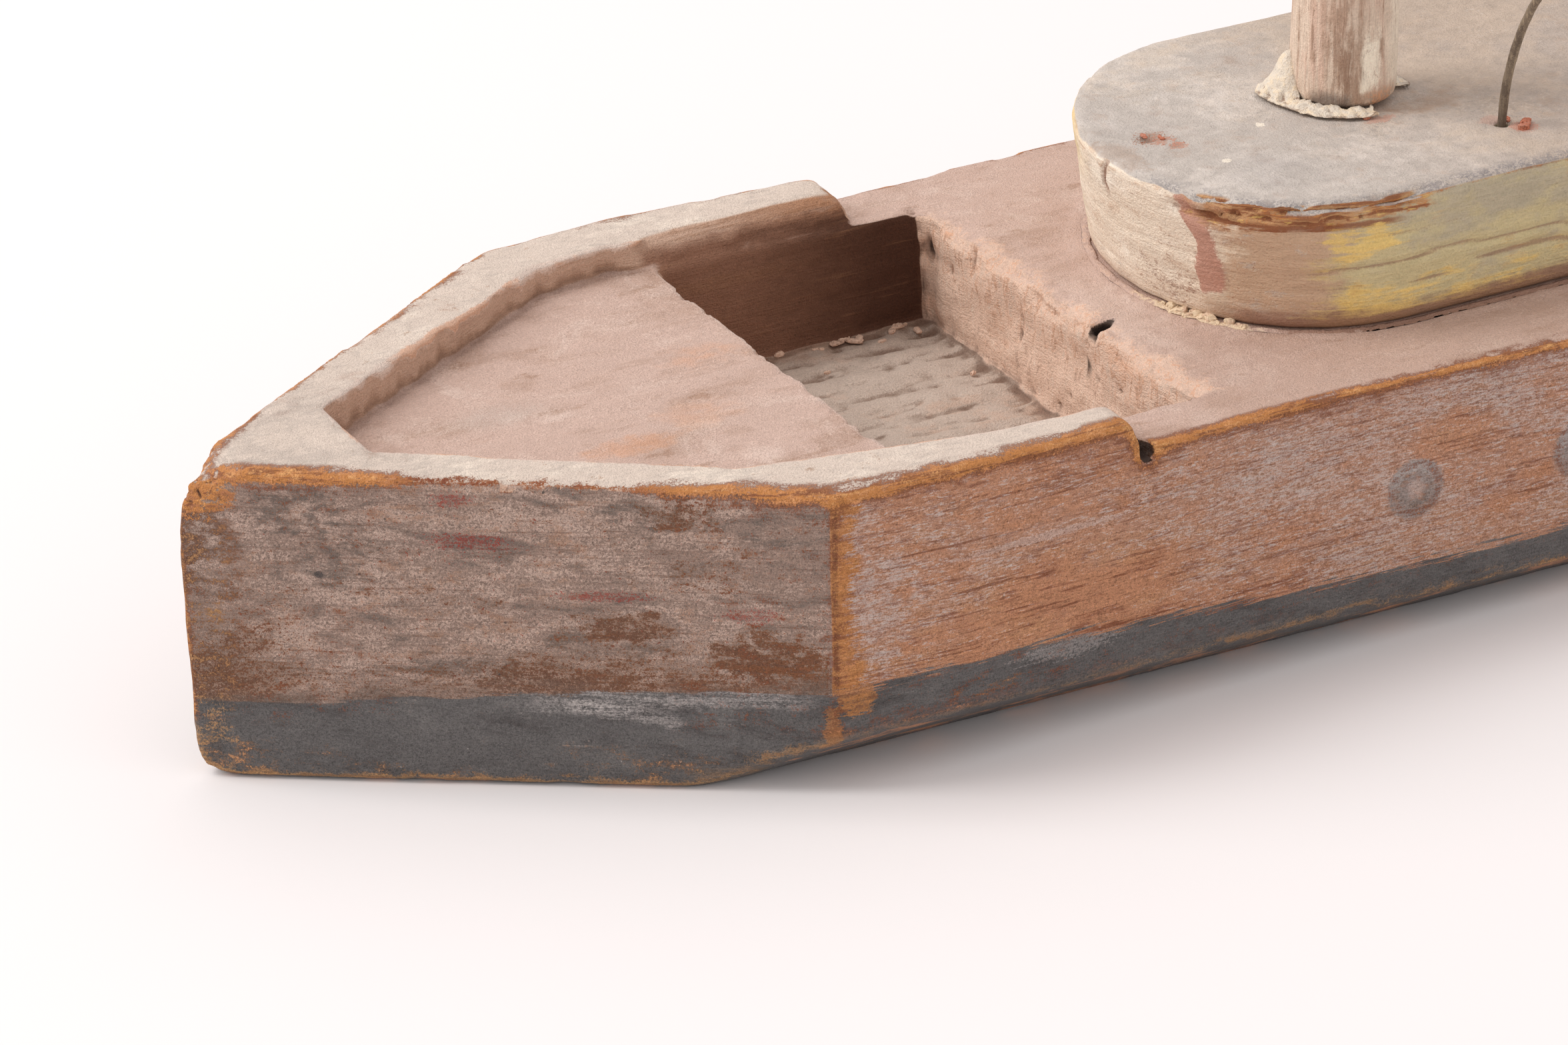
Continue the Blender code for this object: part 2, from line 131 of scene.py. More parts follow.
def relax(points, edges, amount, times):
    """Moves each point towards its neighbours' mean, by an amount from 0 to 1 (one, or one per point)."""
    count = len(points)
    first, second = edges[:, 0], edges[:, 1]
    degree = np.bincount(first, minlength=count) + np.bincount(second, minlength=count)
    amount = np.broadcast_to(amount, count)[:, None]
    for _ in range(times):
        mean = np.empty_like(points)
        for axis in range(3):
            mean[:, axis] = np.bincount(first, weights=points[second, axis], minlength=count)
            mean[:, axis] += np.bincount(second, weights=points[first, axis], minlength=count)
        mean /= degree[:, None]
        points = points + amount * (mean - points)
    return points


def store(mesh, name, values):
    """Keeps one number per point on the mesh, for the material to read."""
    attribute = mesh.attributes.get(name) or mesh.attributes.new(name, "FLOAT", "POINT")
    attribute.data.foreach_set("value", values.astype(np.float32))


def store_convexity(mesh, times):
    """How far each point stands proud of its surroundings: high along edges, below zero in hollows."""
    points = get_points(mesh)
    blurred = relax(points, get_edges(mesh), 0.5, times)
    store(mesh, "convex", ((points - blurred) * get_normals(mesh)).sum(axis=1))


def evaluated_mesh(piece):
    """Applies the object's modifiers and gives it the result as its own mesh."""
    depsgraph = bpy.context.evaluated_depsgraph_get()
    mesh = bpy.data.meshes.new_from_object(piece.evaluated_get(depsgraph))
    piece.modifiers.clear()
    piece.data = mesh
    return mesh


def add_piece(name, mesh):
    piece = bpy.data.objects.new(name, mesh)
    bpy.context.scene.collection.objects.link(piece)
    return piece


def copy_of_node(node, name):
    """A new object with a copy of a CAD node's mesh, in the row frame."""
    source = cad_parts[node]
    mesh = source.data.copy()
    mesh.transform(source.matrix_world)
    mesh.materials.clear()
    return add_piece(name, mesh)


def voxel_remesh(piece, size):
    remesh = piece.modifiers.new("remesh", "REMESH")
    remesh.mode = "VOXEL"
    remesh.voxel_size = size * MM
    return evaluated_mesh(piece)


def thin_out(piece, faces):
    """Collapses the flattest places until about that many triangles are left."""
    have = sum(len(polygon.vertices) - 2 for polygon in piece.data.polygons)
    if have > faces:
        decimate = piece.modifiers.new("thin", "DECIMATE")
        decimate.ratio = faces / have
        evaluated_mesh(piece)
    piece.data.shade_smooth()


def outline_points(node, low, high):
    """A CAD node's own points between two heights."""
    outline = get_points(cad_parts[node].data)
    return outline[(outline[:, 2] > low) & (outline[:, 2] < high)]


def outline_depth(points, node, low, high):
    """How far inside a node's outline each point lies, seen from above, and the way out of it.

    The outline is that of the node's own points between two heights, and it is taken as convex.
    """
    outline = outline_points(node, low, high)
    depth = np.full(len(points), 1e9)
    outward = np.zeros((len(points), 2))
    for angle in np.radians(np.arange(0, 360, 3)):
        direction = np.array([math.cos(angle), math.sin(angle)])
        gap = (outline[:, :2] @ direction).max() - points[:, :2] @ direction
        closer = gap < depth
        depth[closer] = gap[closer]
        outward[closer] = direction
    return depth, outward


class Carving:
    """A copy of a CAD node that is being carved. Its points are in millimetres from the fore point."""

    def __init__(self, node, name, voxel, smoothing):
        self.node = node
        self.piece = copy_of_node(node, name)
        self.mesh = voxel_remesh(self.piece, voxel)
        self.edges = get_edges(self.mesh)
        self.points = get_points(self.mesh)
        self.relax(0.5, smoothing)

    def relax(self, amount, times):
        self.points = relax(self.points, self.edges, amount, times)

    def near(self, centre, radii):
        return near(self.points, centre, radii)

    def depth(self, low, high):
        return outline_depth(self.points, self.node, low, high)[0]

    def noise(self, strength, cell, seed, layers=3, points=None):
        """Layered noise times a strength, worked out only where the strength isn't zero."""
        points = self.points if points is None else points
        strength = np.broadcast_to(strength, len(points))
        total = np.zeros(len(points))
        chosen = strength > 0.001
        total[chosen] = strength[chosen] * layered_noise(points[chosen], cell, seed, layers)
        return total

    def settle(self):
        """Puts the points into the mesh, and gives their x, y, z and their normals."""
        set_points(self.mesh, self.points)
        self.normals = get_normals(self.mesh)
        return (*self.points.T, self.normals)

    def raise_by(self, lift):
        """Moves the points out along their normals, by a distance for each."""
        self.points = self.points + self.normals * lift[:, None]

    def finish(self, blur, faces, depth=None):
        """Holds the points within the CAD node's box, stores what the material reads, and thins the mesh."""
        low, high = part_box(self.node)
        set_points(self.mesh, np.clip(self.points, np.array(low) / MM - FORE, np.array(high) / MM - FORE))
        store_convexity(self.mesh, blur)
        if depth is not None:
            store(self.mesh, "depth", np.clip(depth, 0, 8))
        thin_out(self.piece, faces)
        return self.piece


def place(piece, node, material=None):
    if material:
        piece.data.materials.clear()
        piece.data.materials.append(material)
    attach(piece, "root")
    if node:
        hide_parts(node)


# ------------------------------------------------------------------ camera, light and floor

CAMERA_AZIMUTH = math.radians(152.1426)
CAMERA_ELEVATION = math.radians(26.5234)
CAMERA_ROLL = math.radians(-1.2102)
CAMERA_DISTANCE = 642.673 * MM
CAMERA_ASIDE = 68.2241 * MM
CAMERA_ABOVE = 30.0939 * MM
CAMERA_LENS = 122.449

KEY_AZIMUTH = math.radians(-28.5)
KEY_ELEVATION = math.radians(44)
KEY_DISTANCE = 2.5
KEY_TARGET = Vector((0.09, 0, 0.02))
KEY_POWER = 39.5
KEY_COLOUR = (1.0, 0.985, 0.975)
SOFTBOX_WIDTH = 1.0
SOFTBOX_HEIGHT = 2.3
FILL_STRENGTH = 0.80
FILL_COLOUR = (1.0, 0.955, 0.945, 1)
FLOOR_COLOUR = (0.90, 0.872, 0.871, 1)
FLOOR_HALF_SIZE = 6


def make_camera():
    a, e, r = CAMERA_AZIMUTH, CAMERA_ELEVATION, CAMERA_ROLL
    back = Vector((math.sin(a) * math.cos(e), -math.cos(a) * math.cos(e), math.sin(e)))
    level = Vector((math.cos(a), math.sin(a), 0))
    upright = back.cross(level)
    right = level * math.cos(r) + upright * math.sin(r)
    up = upright * math.cos(r) - level * math.sin(r)
    lens = bpy.data.cameras.new("camera")
    lens.lens = CAMERA_LENS
    lens.sensor_width = 36
    lens.clip_start = 0.01
    camera = add_piece("camera", lens)
    camera.matrix_world = Matrix((right, up, back)).transposed().to_4x4()
    offset = right * CAMERA_ASIDE + up * CAMERA_ABOVE + back * CAMERA_DISTANCE
    camera.location = offset + Vector((FORE_X, 0, 0))
    bpy.context.scene.camera = camera


def make_lights():
    """One tall softbox ahead and a little to starboard, and an even fill from all round."""
    level = Vector((math.cos(KEY_AZIMUTH), math.sin(KEY_AZIMUTH), 0)) * math.cos(KEY_ELEVATION)
    towards_key = level + Vector((0, 0, math.sin(KEY_ELEVATION)))
    lamp = bpy.data.lights.new("softbox", "AREA")
    lamp.shape = "RECTANGLE"
    lamp.size = SOFTBOX_WIDTH
    lamp.size_y = SOFTBOX_HEIGHT
    lamp.energy = KEY_POWER
    lamp.color = KEY_COLOUR
    light = add_piece("softbox", lamp)
    light.location = KEY_TARGET + towards_key * KEY_DISTANCE
    light.rotation_euler = (-towards_key).to_track_quat("-Z", "Y").to_euler()
    world = bpy.data.worlds.new("studio")
    world.use_nodes = True
    background = world.node_tree.nodes["Background"]
    background.inputs["Color"].default_value = FILL_COLOUR
    background.inputs["Strength"].default_value = FILL_STRENGTH
    bpy.context.scene.world = world
    bpy.context.scene.view_settings.view_transform = "Standard"


def make_floor():
    mesh = bpy.data.meshes.new("floor")
    bm = bmesh.new()
    bmesh.ops.create_grid(bm, x_segments=8, y_segments=8, size=FLOOR_HALF_SIZE)
    bm.to_mesh(mesh)
    bm.free()
    floor = add_piece("floor", mesh)
    material = bpy.data.materials.new("floor")
    material.use_nodes = True
    shader = material.node_tree.nodes["Principled BSDF"]
    shader.inputs["Base Color"].default_value = FLOOR_COLOUR
    shader.inputs["Roughness"].default_value = 0.9
    shader.inputs["Specular IOR Level"].default_value = 0.1
    mesh.materials.append(material)


# ------------------------------------------------------------------ material kit

def rgb(red, green, blue):
    """A screen colour, 0 to 255, as the linear colour that shaders take."""
    linear = []
    for value in (red / 255, green / 255, blue / 255):
        linear.append(value / 12.92 if value <= 0.04045 else ((value + 0.055) / 1.055) ** 2.4)
    return tuple(linear)


class Field:
    """A number or a colour worked out at each point of a surface. Arithmetic on it adds shader nodes."""

    def __init__(self, look, socket):
        self.look = look
        self.socket = socket

    def __add__(self, other):
        return self.look.math("ADD", self, other)

    def __sub__(self, other):
        return self.look.math("SUBTRACT", self, other)

    def __rsub__(self, other):
        return self.look.math("SUBTRACT", other, self)

    def __mul__(self, other):
        return self.look.math("MULTIPLY", self, other)

    def __truediv__(self, other):
        return self.look.math("DIVIDE", self, other)

    def __abs__(self):
        return self.look.math("ABSOLUTE", self)

    __rmul__ = __mul__


class Look:
    """One material, painted in layers: each paint() covers what is there."""

    def __init__(self, name, colour, roughness=0.8, specular=0.25):
        self.material = bpy.data.materials.new(name)
        self.material.use_nodes = True
        self.nodes = self.material.node_tree.nodes
        self.links = self.material.node_tree.links
        self.shader = self.nodes["Principled BSDF"]
        self.shader.inputs["Specular IOR Level"].default_value = specular
        coordinates = self.nodes.new("ShaderNodeTexCoord")
        scaled = self.node("ShaderNodeVectorMath", operation="MULTIPLY_ADD")
        self.links.new(coordinates.outputs["Object"], scaled.inputs[0])
        scaled.inputs[1].default_value = (1 / MM, 1 / MM, 1 / MM)
        scaled.inputs[2].default_value = tuple(-FORE)
        self.place = scaled.outputs[0]
        self.x, self.y, self.z = self.split(self.place)
        self.ahead, _, self.up = self.split(coordinates.outputs["Normal"])
        self.colour = colour
        self.rough = roughness

    def node(self, kind, **settings):
        made = self.nodes.new(kind)
        for key, value in settings.items():
            setattr(made, key, value)
        return made

    def feed(self, socket, value):
        if isinstance(value, Field):
            self.links.new(value.socket, socket)
        elif isinstance(value, tuple) and len(socket.default_value) == 4:
            socket.default_value = (*value, 1.0)
        else:
            socket.default_value = value

    def split(self, vector):
        parts = self.node("ShaderNodeSeparateXYZ")
        self.links.new(vector, parts.inputs[0])
        return [Field(self, output) for output in parts.outputs]

    def math(self, operation, first, second=None):
        made = self.node("ShaderNodeMath", operation=operation)
        self.feed(made.inputs[0], first)
        if second is not None:
            self.feed(made.inputs[1], second)
        return Field(self, made.outputs[0])

    def most(self, first, second):
        return self.math("MAXIMUM", first, second)

    def scaled_place(self, size, stretch, seed):
        moved = self.node("ShaderNodeVectorMath", operation="MULTIPLY_ADD")
        self.links.new(self.place, moved.inputs[0])
        moved.inputs[1].default_value = tuple(1 / (size * part) for part in stretch)
        moved.inputs[2].default_value = (7.3 * seed, 3.1 * seed, 5.7 * seed)
        return moved.outputs[0]

    def noise(self, size, stretch=(1, 1, 1), detail=2, seed=0, rough=0.55, twist=0.0):
        """Noise of about -1 to 1 whose features are that many millimetres, stretched along the axes."""
        made = self.node("ShaderNodeTexNoise")
        made.inputs["Scale"].default_value = 1.0
        made.inputs["Detail"].default_value = detail
        made.inputs["Roughness"].default_value = rough
        made.inputs["Distortion"].default_value = twist
        self.links.new(self.scaled_place(size, stretch, seed), made.inputs["Vector"])
        return (Field(self, made.outputs[0]) - 0.5) * 6.0

    def dots(self, size, radius, seed):
        """Scattered round dots: 1 inside, 0 outside."""
        made = self.node("ShaderNodeTexVoronoi")
        made.inputs["Scale"].default_value = 1.0
        self.links.new(self.scaled_place(size, (1, 1, 1), seed), made.inputs["Vector"])
        return self.step(Field(self, made.outputs["Distance"]), radius * 1.25 / size, radius * 0.75 / size)

    def attribute(self, name):
        return Field(self, self.node("ShaderNodeAttribute", attribute_name=name).outputs["Fac"])

    def step(self, value, low, high):
        """0 below low, 1 above high, smooth between; the other way round where low is the higher one."""
        made = self.node("ShaderNodeMapRange", interpolation_type="SMOOTHSTEP")
        self.feed(made.inputs["Value"], value)
        made.inputs["From Min"].default_value = low
        made.inputs["From Max"].default_value = high
        return Field(self, made.outputs[0])

    def band(self, value, low, high, soft=0.3):
        return self.step(value, low - soft, low + soft) * self.step(value, high + soft, high - soft)

    def blot(self, ragged=0.0, soft=0.3, x=None, y=None, z=None):
        """A patch with a centre and a radius on each axis that is given; ragged is a field that frays it."""
        total = 1.0
        for value, span in ((self.x, x), (self.y, y), (self.z, z)):
            if span:
                offset = (value - span[0]) * (1 / span[1])
                total = total - offset * offset
        return self.step(total + ragged, 0.0, soft)

    def mix(self, amount, first, second):
        made = self.node("ShaderNodeMix", data_type="RGBA")
        self.feed(made.inputs[0], amount)
        self.feed(made.inputs[6], first)
        self.feed(made.inputs[7], second)
        return Field(self, made.outputs[2])

    def paint(self, mask, colour, rough=None):
        self.colour = self.mix(mask, self.colour, colour)
        if rough is not None:
            self.rough = (rough - self.rough) * mask + self.rough

    def layers(self, where, rows):
        """Paints one colour after another inside a mask (None: everywhere).

        Each row is the colour, its strength, the pattern it follows, and where that starts and is full.
        """
        for colour, strength, pattern, low, high in rows:
            mask = self.step(pattern, low, high)
            if where is not None:
                mask = where * mask
            self.paint(mask * strength, colour)

    def shade(self, amount):
        """Brightens or darkens what is painted so far, by a fraction."""
        made = self.node("ShaderNodeVectorMath", operation="SCALE")
        self.feed(made.inputs[0], self.colour)
        self.feed(made.inputs["Scale"], amount + 1.0)
        self.colour = Field(self, made.outputs[0])

    def finish(self, relief):
        """Wires up the colour, the roughness and a relief in millimetres."""
        self.feed(self.shader.inputs["Base Color"], self.colour)
        self.feed(self.shader.inputs["Roughness"], self.rough)
        bump = self.node("ShaderNodeBump")
        bump.inputs["Distance"].default_value = MM
        self.feed(bump.inputs["Height"], relief)
        self.links.new(bump.outputs[0], self.shader.inputs["Normal"])
        return self.material


# ------------------------------------------------------------------ hull carving

DECK_TOP = 36.0
WELL_FRONT = -77.5
WELL_AFT = -115.8
WELL_PORT = 35.0
WELL_STARBOARD = -33.2
LIP_HALF_WIDTH = 34
SHOULDER_PORT = -61.8
SLOT = (-116.5, 10.6, 34)
PORTHOLE_FIRST = -143.3
PORTHOLE_PITCH = 24.4
PORTHOLE_COUNT = 8
PORTHOLE_Z = 20.6
PORTHOLE_RADIUS = 4.1
# The hull's outline is taken above its bottom bevel, the deckhouse's at its foot
HULL_SLICE = (12, 99)
HOUSE_FOOT_SLICE = (36, 37)
# A small old hole in the deck (where, radius), and pits and splits in the well's aft wall (where, length)
DECK_HOLE = (-112.9, 14.7, DECK_TOP)
DECK_HOLE_RADIUS = 0.9
WALL_PITS = [(9.4, 33.0), (12.0, 29.1), (17.1, 29.7), (5.2, 24.2), (2.3, 21.8)]
WALL_SPLITS = [(-19.8, 34.0, 3.4), (-8.0, 27.2, 1.8), (-31.0, 31.0, 3.4)]


def wear_hull(shape, outer):
    """Rounds the hull's edges unevenly, most at the stem, the shoulder's foot and the well's aft lip."""
    patchy = 0.5 + 0.5 * shape.noise(1, 7, 11, 1)
    low_edge = ramp(8, 3, shape.points[:, 2])
    wear = outer * (0.22 + 0.3 * patchy) + outer * low_edge * 0.45
    wear *= 1 - shape.near((-103.5, 43, 37), (7, 9, 7)) * 1.3
    stem = shape.near((3, 0, 42), (9, 9, 12)) + shape.near((3, 0, 0), (10, 12, 9))
    shape.relax(np.clip(wear + stem, 0, 0.62), 14)
    shape.relax(np.clip(2.2 * shape.near((3, 0, 42), (6, 6, 9)), 0, 0.6), 20)
    points = shape.points
    to_stem = ramp(-6.5, 1.5, points[:, 0])
    points[:, 0] -= 1.0 * to_stem * ramp(36, 40.5, points[:, 2])
    points[:, 2] -= 1.4 * to_stem * ramp(31, 40, points[:, 2])
    shoulder_foot = ramp(8, 0, points[:, 2]) * shape.near((-58, 41, 0), (20, 12, 12))
    shape.relax(np.clip(shoulder_foot * 1.5, 0, 0.6), 16)
    x, y, z = shape.points.T
    on_lip = ramp(6, 1.5, np.abs(x - WELL_AFT)) * ramp(25, 32, z)
    on_lip *= ramp(33.5, 31.5, np.abs(y)) * (1 - shape.near(SLOT, (6, 5, 7)))
    shape.relax(on_lip * 0.62, 30)
    points = shape.points
    sunk = 0.6 + shape.noise(1, 6, 12, 1)
    points[:, 2] -= on_lip * 0.5 * ramp(30, 35, points[:, 2]) * sunk


def carve_hull():
    """The hull with worn edges, tool marks, torn-out end grain and chips."""
    shape = Carving("hull", "hull_carved", voxel=0.6, smoothing=2)
    depth = shape.depth(*HULL_SLICE)
    outer = ramp(3.2, 1.6, depth)
    wear_hull(shape, outer)
    x, y, z, normals = shape.settle()
    ahead, up = normals[:, 0], normals[:, 2]
    noise = shape.noise

    in_well = ramp(WELL_AFT - 2.2, WELL_AFT - 1.2, x) * ramp(WELL_FRONT + 1, WELL_FRONT, x)
    in_well = in_well * ramp(WELL_PORT + 1, WELL_PORT + 0.4, y)
    in_well = in_well * ramp(WELL_STARBOARD - 1, WELL_STARBOARD - 0.4, y) * ramp(36.6, 35.6, z)
    upright = ramp(0.6, 0.3, np.abs(up))
    side = outer * upright
    wall = (depth > 3.4) * upright
    flat = ramp(0.7, 0.9, up)
    deck = flat * (1 - in_well)
    well_wall = in_well * wall
    aft_wall = well_wall * ramp(0.3, 0.7, ahead)
    recess_wall = wall * (1 - in_well) * ramp(35.2, 36.4, z)
    off_slot = 1 - shape.near(SLOT, (5, 4.5, 6))

    lift = noise(0.05, (2.4, 1.6, 1.6), 21, 2)
    lift += noise(side * 0.16, (26, 9, 7), 31, 2)
    lift += noise(deck * 0.1, (18, 3.5, 9), 41, 3) - 0.06 * deck
    lift += noise(in_well * flat * 0.36, (9, 2.2, 4), 51, 4)
    lift += noise(in_well * flat * 0.26, (3, 3, 3), 57, 3)
    lift += noise(well_wall * 0.18, (14, 14, 2.6), 61, 2)
    lift += (noise(aft_wall * 0.5, (4, 8, 6), 71, 3) - 0.2 * aft_wall) * off_slot
    lift += noise(aft_wall * 0.28, (2, 1.5, 5), 76, 3) * off_slot
    lift += noise(recess_wall * 0.3, (2.6, 2.6, 14), 81, 2)
    lift += noise(flat * ramp(38.4, 39.2, z) * 0.08, (7, 7, 5), 86, 3)

    # Torn lip along the aft wall's top, and chips out of the foredeck's aft edge
    across = np.abs(y) < LIP_HALF_WIDTH
    below_deck = DECK_TOP - z
    lip = ramp(2.4, 0.6, np.abs(x - WELL_AFT + 0.4)) * ramp(4, 0.5, below_deck) * across
    lift -= np.clip(noise(lip, (3.4, 4.2, 3), 91, 3) + 0.2 * lip, 0, 1) * off_slot
    fore_edge = ramp(1.6, 0.3, np.abs(x - WELL_FRONT)) * ramp(2.6, 0.3, below_deck) * across
    lift -= np.clip(noise(fore_edge * 1.3, (3, 2.6, 3), 96, 2) - 0.25, 0, 0.9)

    # Split and crumbled stem head, small nicks down the stem, and dents in the other edges
    head = shape.near((0.5, 0, 39.5), (8, 7, 8))
    slanted = shape.points + 0.9 * (y - x)[:, None] * (0, 0, 1)
    splits = np.abs(noise(np.sign(head), (2.6, 2.6, 2.0), 101, 2, slanted))
    lift -= 0.42 * head * ramp(0.14, 0.02, splits) + noise(head * 0.3, (2, 2, 1.4), 111, 3)
    stem_line = ramp(4.5, 1.0, np.hypot(x - 0.5, y)) * ramp(36, 32, z)
    lift -= np.clip(noise(stem_line, (3, 3, 4.2), 121, 2) - 0.1, 0, 1) * 0.8
    lift -= ramp(0.35, 0.7, noise(outer, (5, 3, 3), 131, 1)) * (np.abs(up) > 0.25) * 0.16

    lift -= 1.3 * shape.near(DECK_HOLE, (DECK_HOLE_RADIUS, DECK_HOLE_RADIUS, 2))
    for pit_y, pit_z in WALL_PITS:
        lift -= 0.9 * shape.near((WELL_AFT, pit_y, pit_z), (3, 0.9, 0.8))
    for split_y, split_z, length in WALL_SPLITS:
        lift -= 1.1 * shape.near((WELL_AFT, split_y, split_z), (3, 0.9, length))
    for i in range(PORTHOLE_COUNT):
        radius = np.hypot(x - PORTHOLE_FIRST + i * PORTHOLE_PITCH, z - PORTHOLE_Z)
        ring = ramp(1.2, 0.2, np.abs(radius - 0.8 * PORTHOLE_RADIUS))
        lift += side * ring * 0.16 - side * ramp(1.6, 0.4, radius) * 0.1

    # The deck rises a little to meet the deckhouse's foot
    shape.raise_by(lift)
    house_depth, _ = outline_depth(shape.points, "deckhouse", *HOUSE_FOOT_SLICE)
    z = shape.points[:, 2]
    shape.points[:, 2] += 0.36 * ramp(-3.6, -1.6, house_depth) * (z > 35) * (z < 37)
    hull = shape.finish(blur=14, faces=190000, depth=depth)
    hull.data.materials.append(hull_side_look())
    hull.data.materials.append(hull_top_look())
    give_top_material(hull.data)
    return hull


def give_top_material(mesh):
    """The second material goes on the deck, the rim and all that lies inside them."""
    centres = read(mesh.polygons, "center", 3) / MM - FORE
    up = read(mesh.polygons, "normal", 3)[:, 2]
    depth, _ = outline_depth(centres, "hull", *HULL_SLICE)
    is_top = ((up > 0.5) & (centres[:, 2] > 30)) | ((depth > 4) & (centres[:, 2] > 16))
    mesh.polygons.foreach_set("material_index", is_top.astype(np.int32))


# ------------------------------------------------------------------ hull materials

BARE_ORANGE = rgb(196, 132, 76)
BARE_GOLD = rgb(226, 168, 108)
BARE_RED = rgb(124, 72, 48)
EDGE_RED = rgb(120, 58, 42)
SIDE_WOOD = rgb(198, 142, 108)
SIDE_RED = rgb(160, 108, 82)
SIDE_ORANGE = rgb(206, 150, 108)
MAUVE = rgb(200, 174, 163)
MAUVE_FILM = rgb(182, 148, 132)
EDGE_TAN = rgb(190, 148, 104)
FACET_GREY = rgb(160, 136, 123)
FACET_PINK = rgb(198, 172, 158)
FACET_SLATE = rgb(112, 101, 94)
FACET_BROWN = rgb(106, 73, 57)
FACET_TAN = rgb(150, 110, 82)
FACET_RUST = rgb(134, 86, 56)
FACET_RED = rgb(140, 62, 52)
BOOT_SLATE = rgb(104, 101, 100)
BOOT_DARK = rgb(76, 71, 70)
BOOT_PALE = rgb(128, 124, 121)
PORTHOLE_GREY = rgb(150, 143, 140)
BOOT_BROWN = rgb(132, 100, 76)
SCUFF_AND_HIGHLIGHT = rgb(188, 180, 176)
RIM_CREAM = rgb(222, 205, 191)
RIM_PALE = rgb(243, 228, 212)
RIM_GREY = rgb(186, 173, 163)
DECK_PINK = rgb(209, 180, 166)
DECK_BROWN = rgb(182, 150, 132)
DECK_PALE = rgb(229, 206, 193)
DECK_ORANGE = rgb(216, 158, 120)
WALL_TAN = rgb(206, 172, 150)
RIM_WORN = rgb(176, 128, 96)
WELL_RED = rgb(150, 110, 89)
WELL_DARK = rgb(82, 53, 40)
WELL_PEACH = rgb(236, 203, 181)
WELL_FLOOR = rgb(204, 186, 172)
WELL_SHADE = rgb(136, 112, 96)
SPECK_AND_HOLE_SHADE = rgb(40, 27, 21)

# Spots on the port facet that are rubbed brown: where along it, how long, how high up, how tall, how much
RUBBED_SPOTS = [
    (-41, 7, 22.2, 2.6, 0.9),
    (-47, 6, 36.8, 2.6, 0.8),
    (-50, 5, 30, 4, 0.5),
    (-24, 6, 25, 2, 0.5),
    (-55, 6.5, 18.6, 3.6, 0.9),
]


def add_patterns(look):
    """Noise that several layers share, from the wood's fibres up to broad clouds of dirt."""
    look.grain = look.noise(0.5, stretch=(26, 9, 0.8), detail=3, seed=1)
    look.fibre = look.noise(0.22, stretch=(9, 3, 1), detail=2, seed=2)
    look.fine = look.noise(0.3, detail=2, seed=3, rough=0.8)
    look.mid = look.noise(1.7, stretch=(1.6, 1.4, 0.8), detail=5, seed=8, rough=0.68)
    look.wide = look.noise(7, stretch=(1.9, 1.5, 0.7), detail=4, seed=5, rough=0.6)
    look.smoke = look.noise(4.5, stretch=(2.4, 2.4, 0.8), detail=5, seed=7, rough=0.66, twist=0.9)
    look.convex = look.attribute("convex")


def bare_edges(look, where, beside):
    """Wood rubbed bare along the outer edges: gold on the crown, orange beside it, red-brown at its fringe.

    beside is the distance in millimetres from the edge, measured along this material's own surface."""
    x, y, z, step, paint = look.x, look.y, look.z, look.step, look.paint
    grain, fibre, fine, mid = look.grain, look.fibre, look.fine, look.mid
    convex = look.convex
    fray = fine * 0.045 + mid * 0.04 + grain * 0.02
    thin = look.band(x, -44, -20, 4) * step(y, 4, 9)
    to_starboard = step(y, -4, -12)
    fray = fray - (thin * 0.1 + to_starboard * 0.06) + to_starboard * look.wide * 0.08
    high = step(z, 7, 10)
    fringe = step(convex + fray * 1.5, 0.03, 0.13)
    paint(where * fringe * high * 0.8, BARE_RED)
    along_edge = step(beside - fray * 6.0, 0.75, 0.35) * step(z, 30, 33)
    worn = look.most(step(convex + fray, 0.12, 0.2), along_edge)
    bare = where * worn * high
    paint(bare, BARE_ORANGE, rough=0.7)
    look.layers(bare, [
        (SIDE_RED, 0.7, grain + fibre * 0.8 + fine * 0.5, 0.0, 1.1),
        (SIDE_WOOD, 0.45, mid + fine * 0.8, 0.0, 1.1),
        (BARE_RED, 0.65, grain * 1.2 + fibre * 0.5, 0.35, 0.8),
    ])
    paint(where * worn * thin * step(mid * 0.6 + fine * 0.6, -0.9, 0.4) * 0.75, EDGE_RED)
    crown = step(convex + fray * 1.5, 0.2, 0.4) * step(z, 28, 34)
    gold = where * crown * step(fibre + mid * 0.8 - thin, -0.6, 0.7)
    paint(gold * 0.9, BARE_GOLD, rough=0.66)


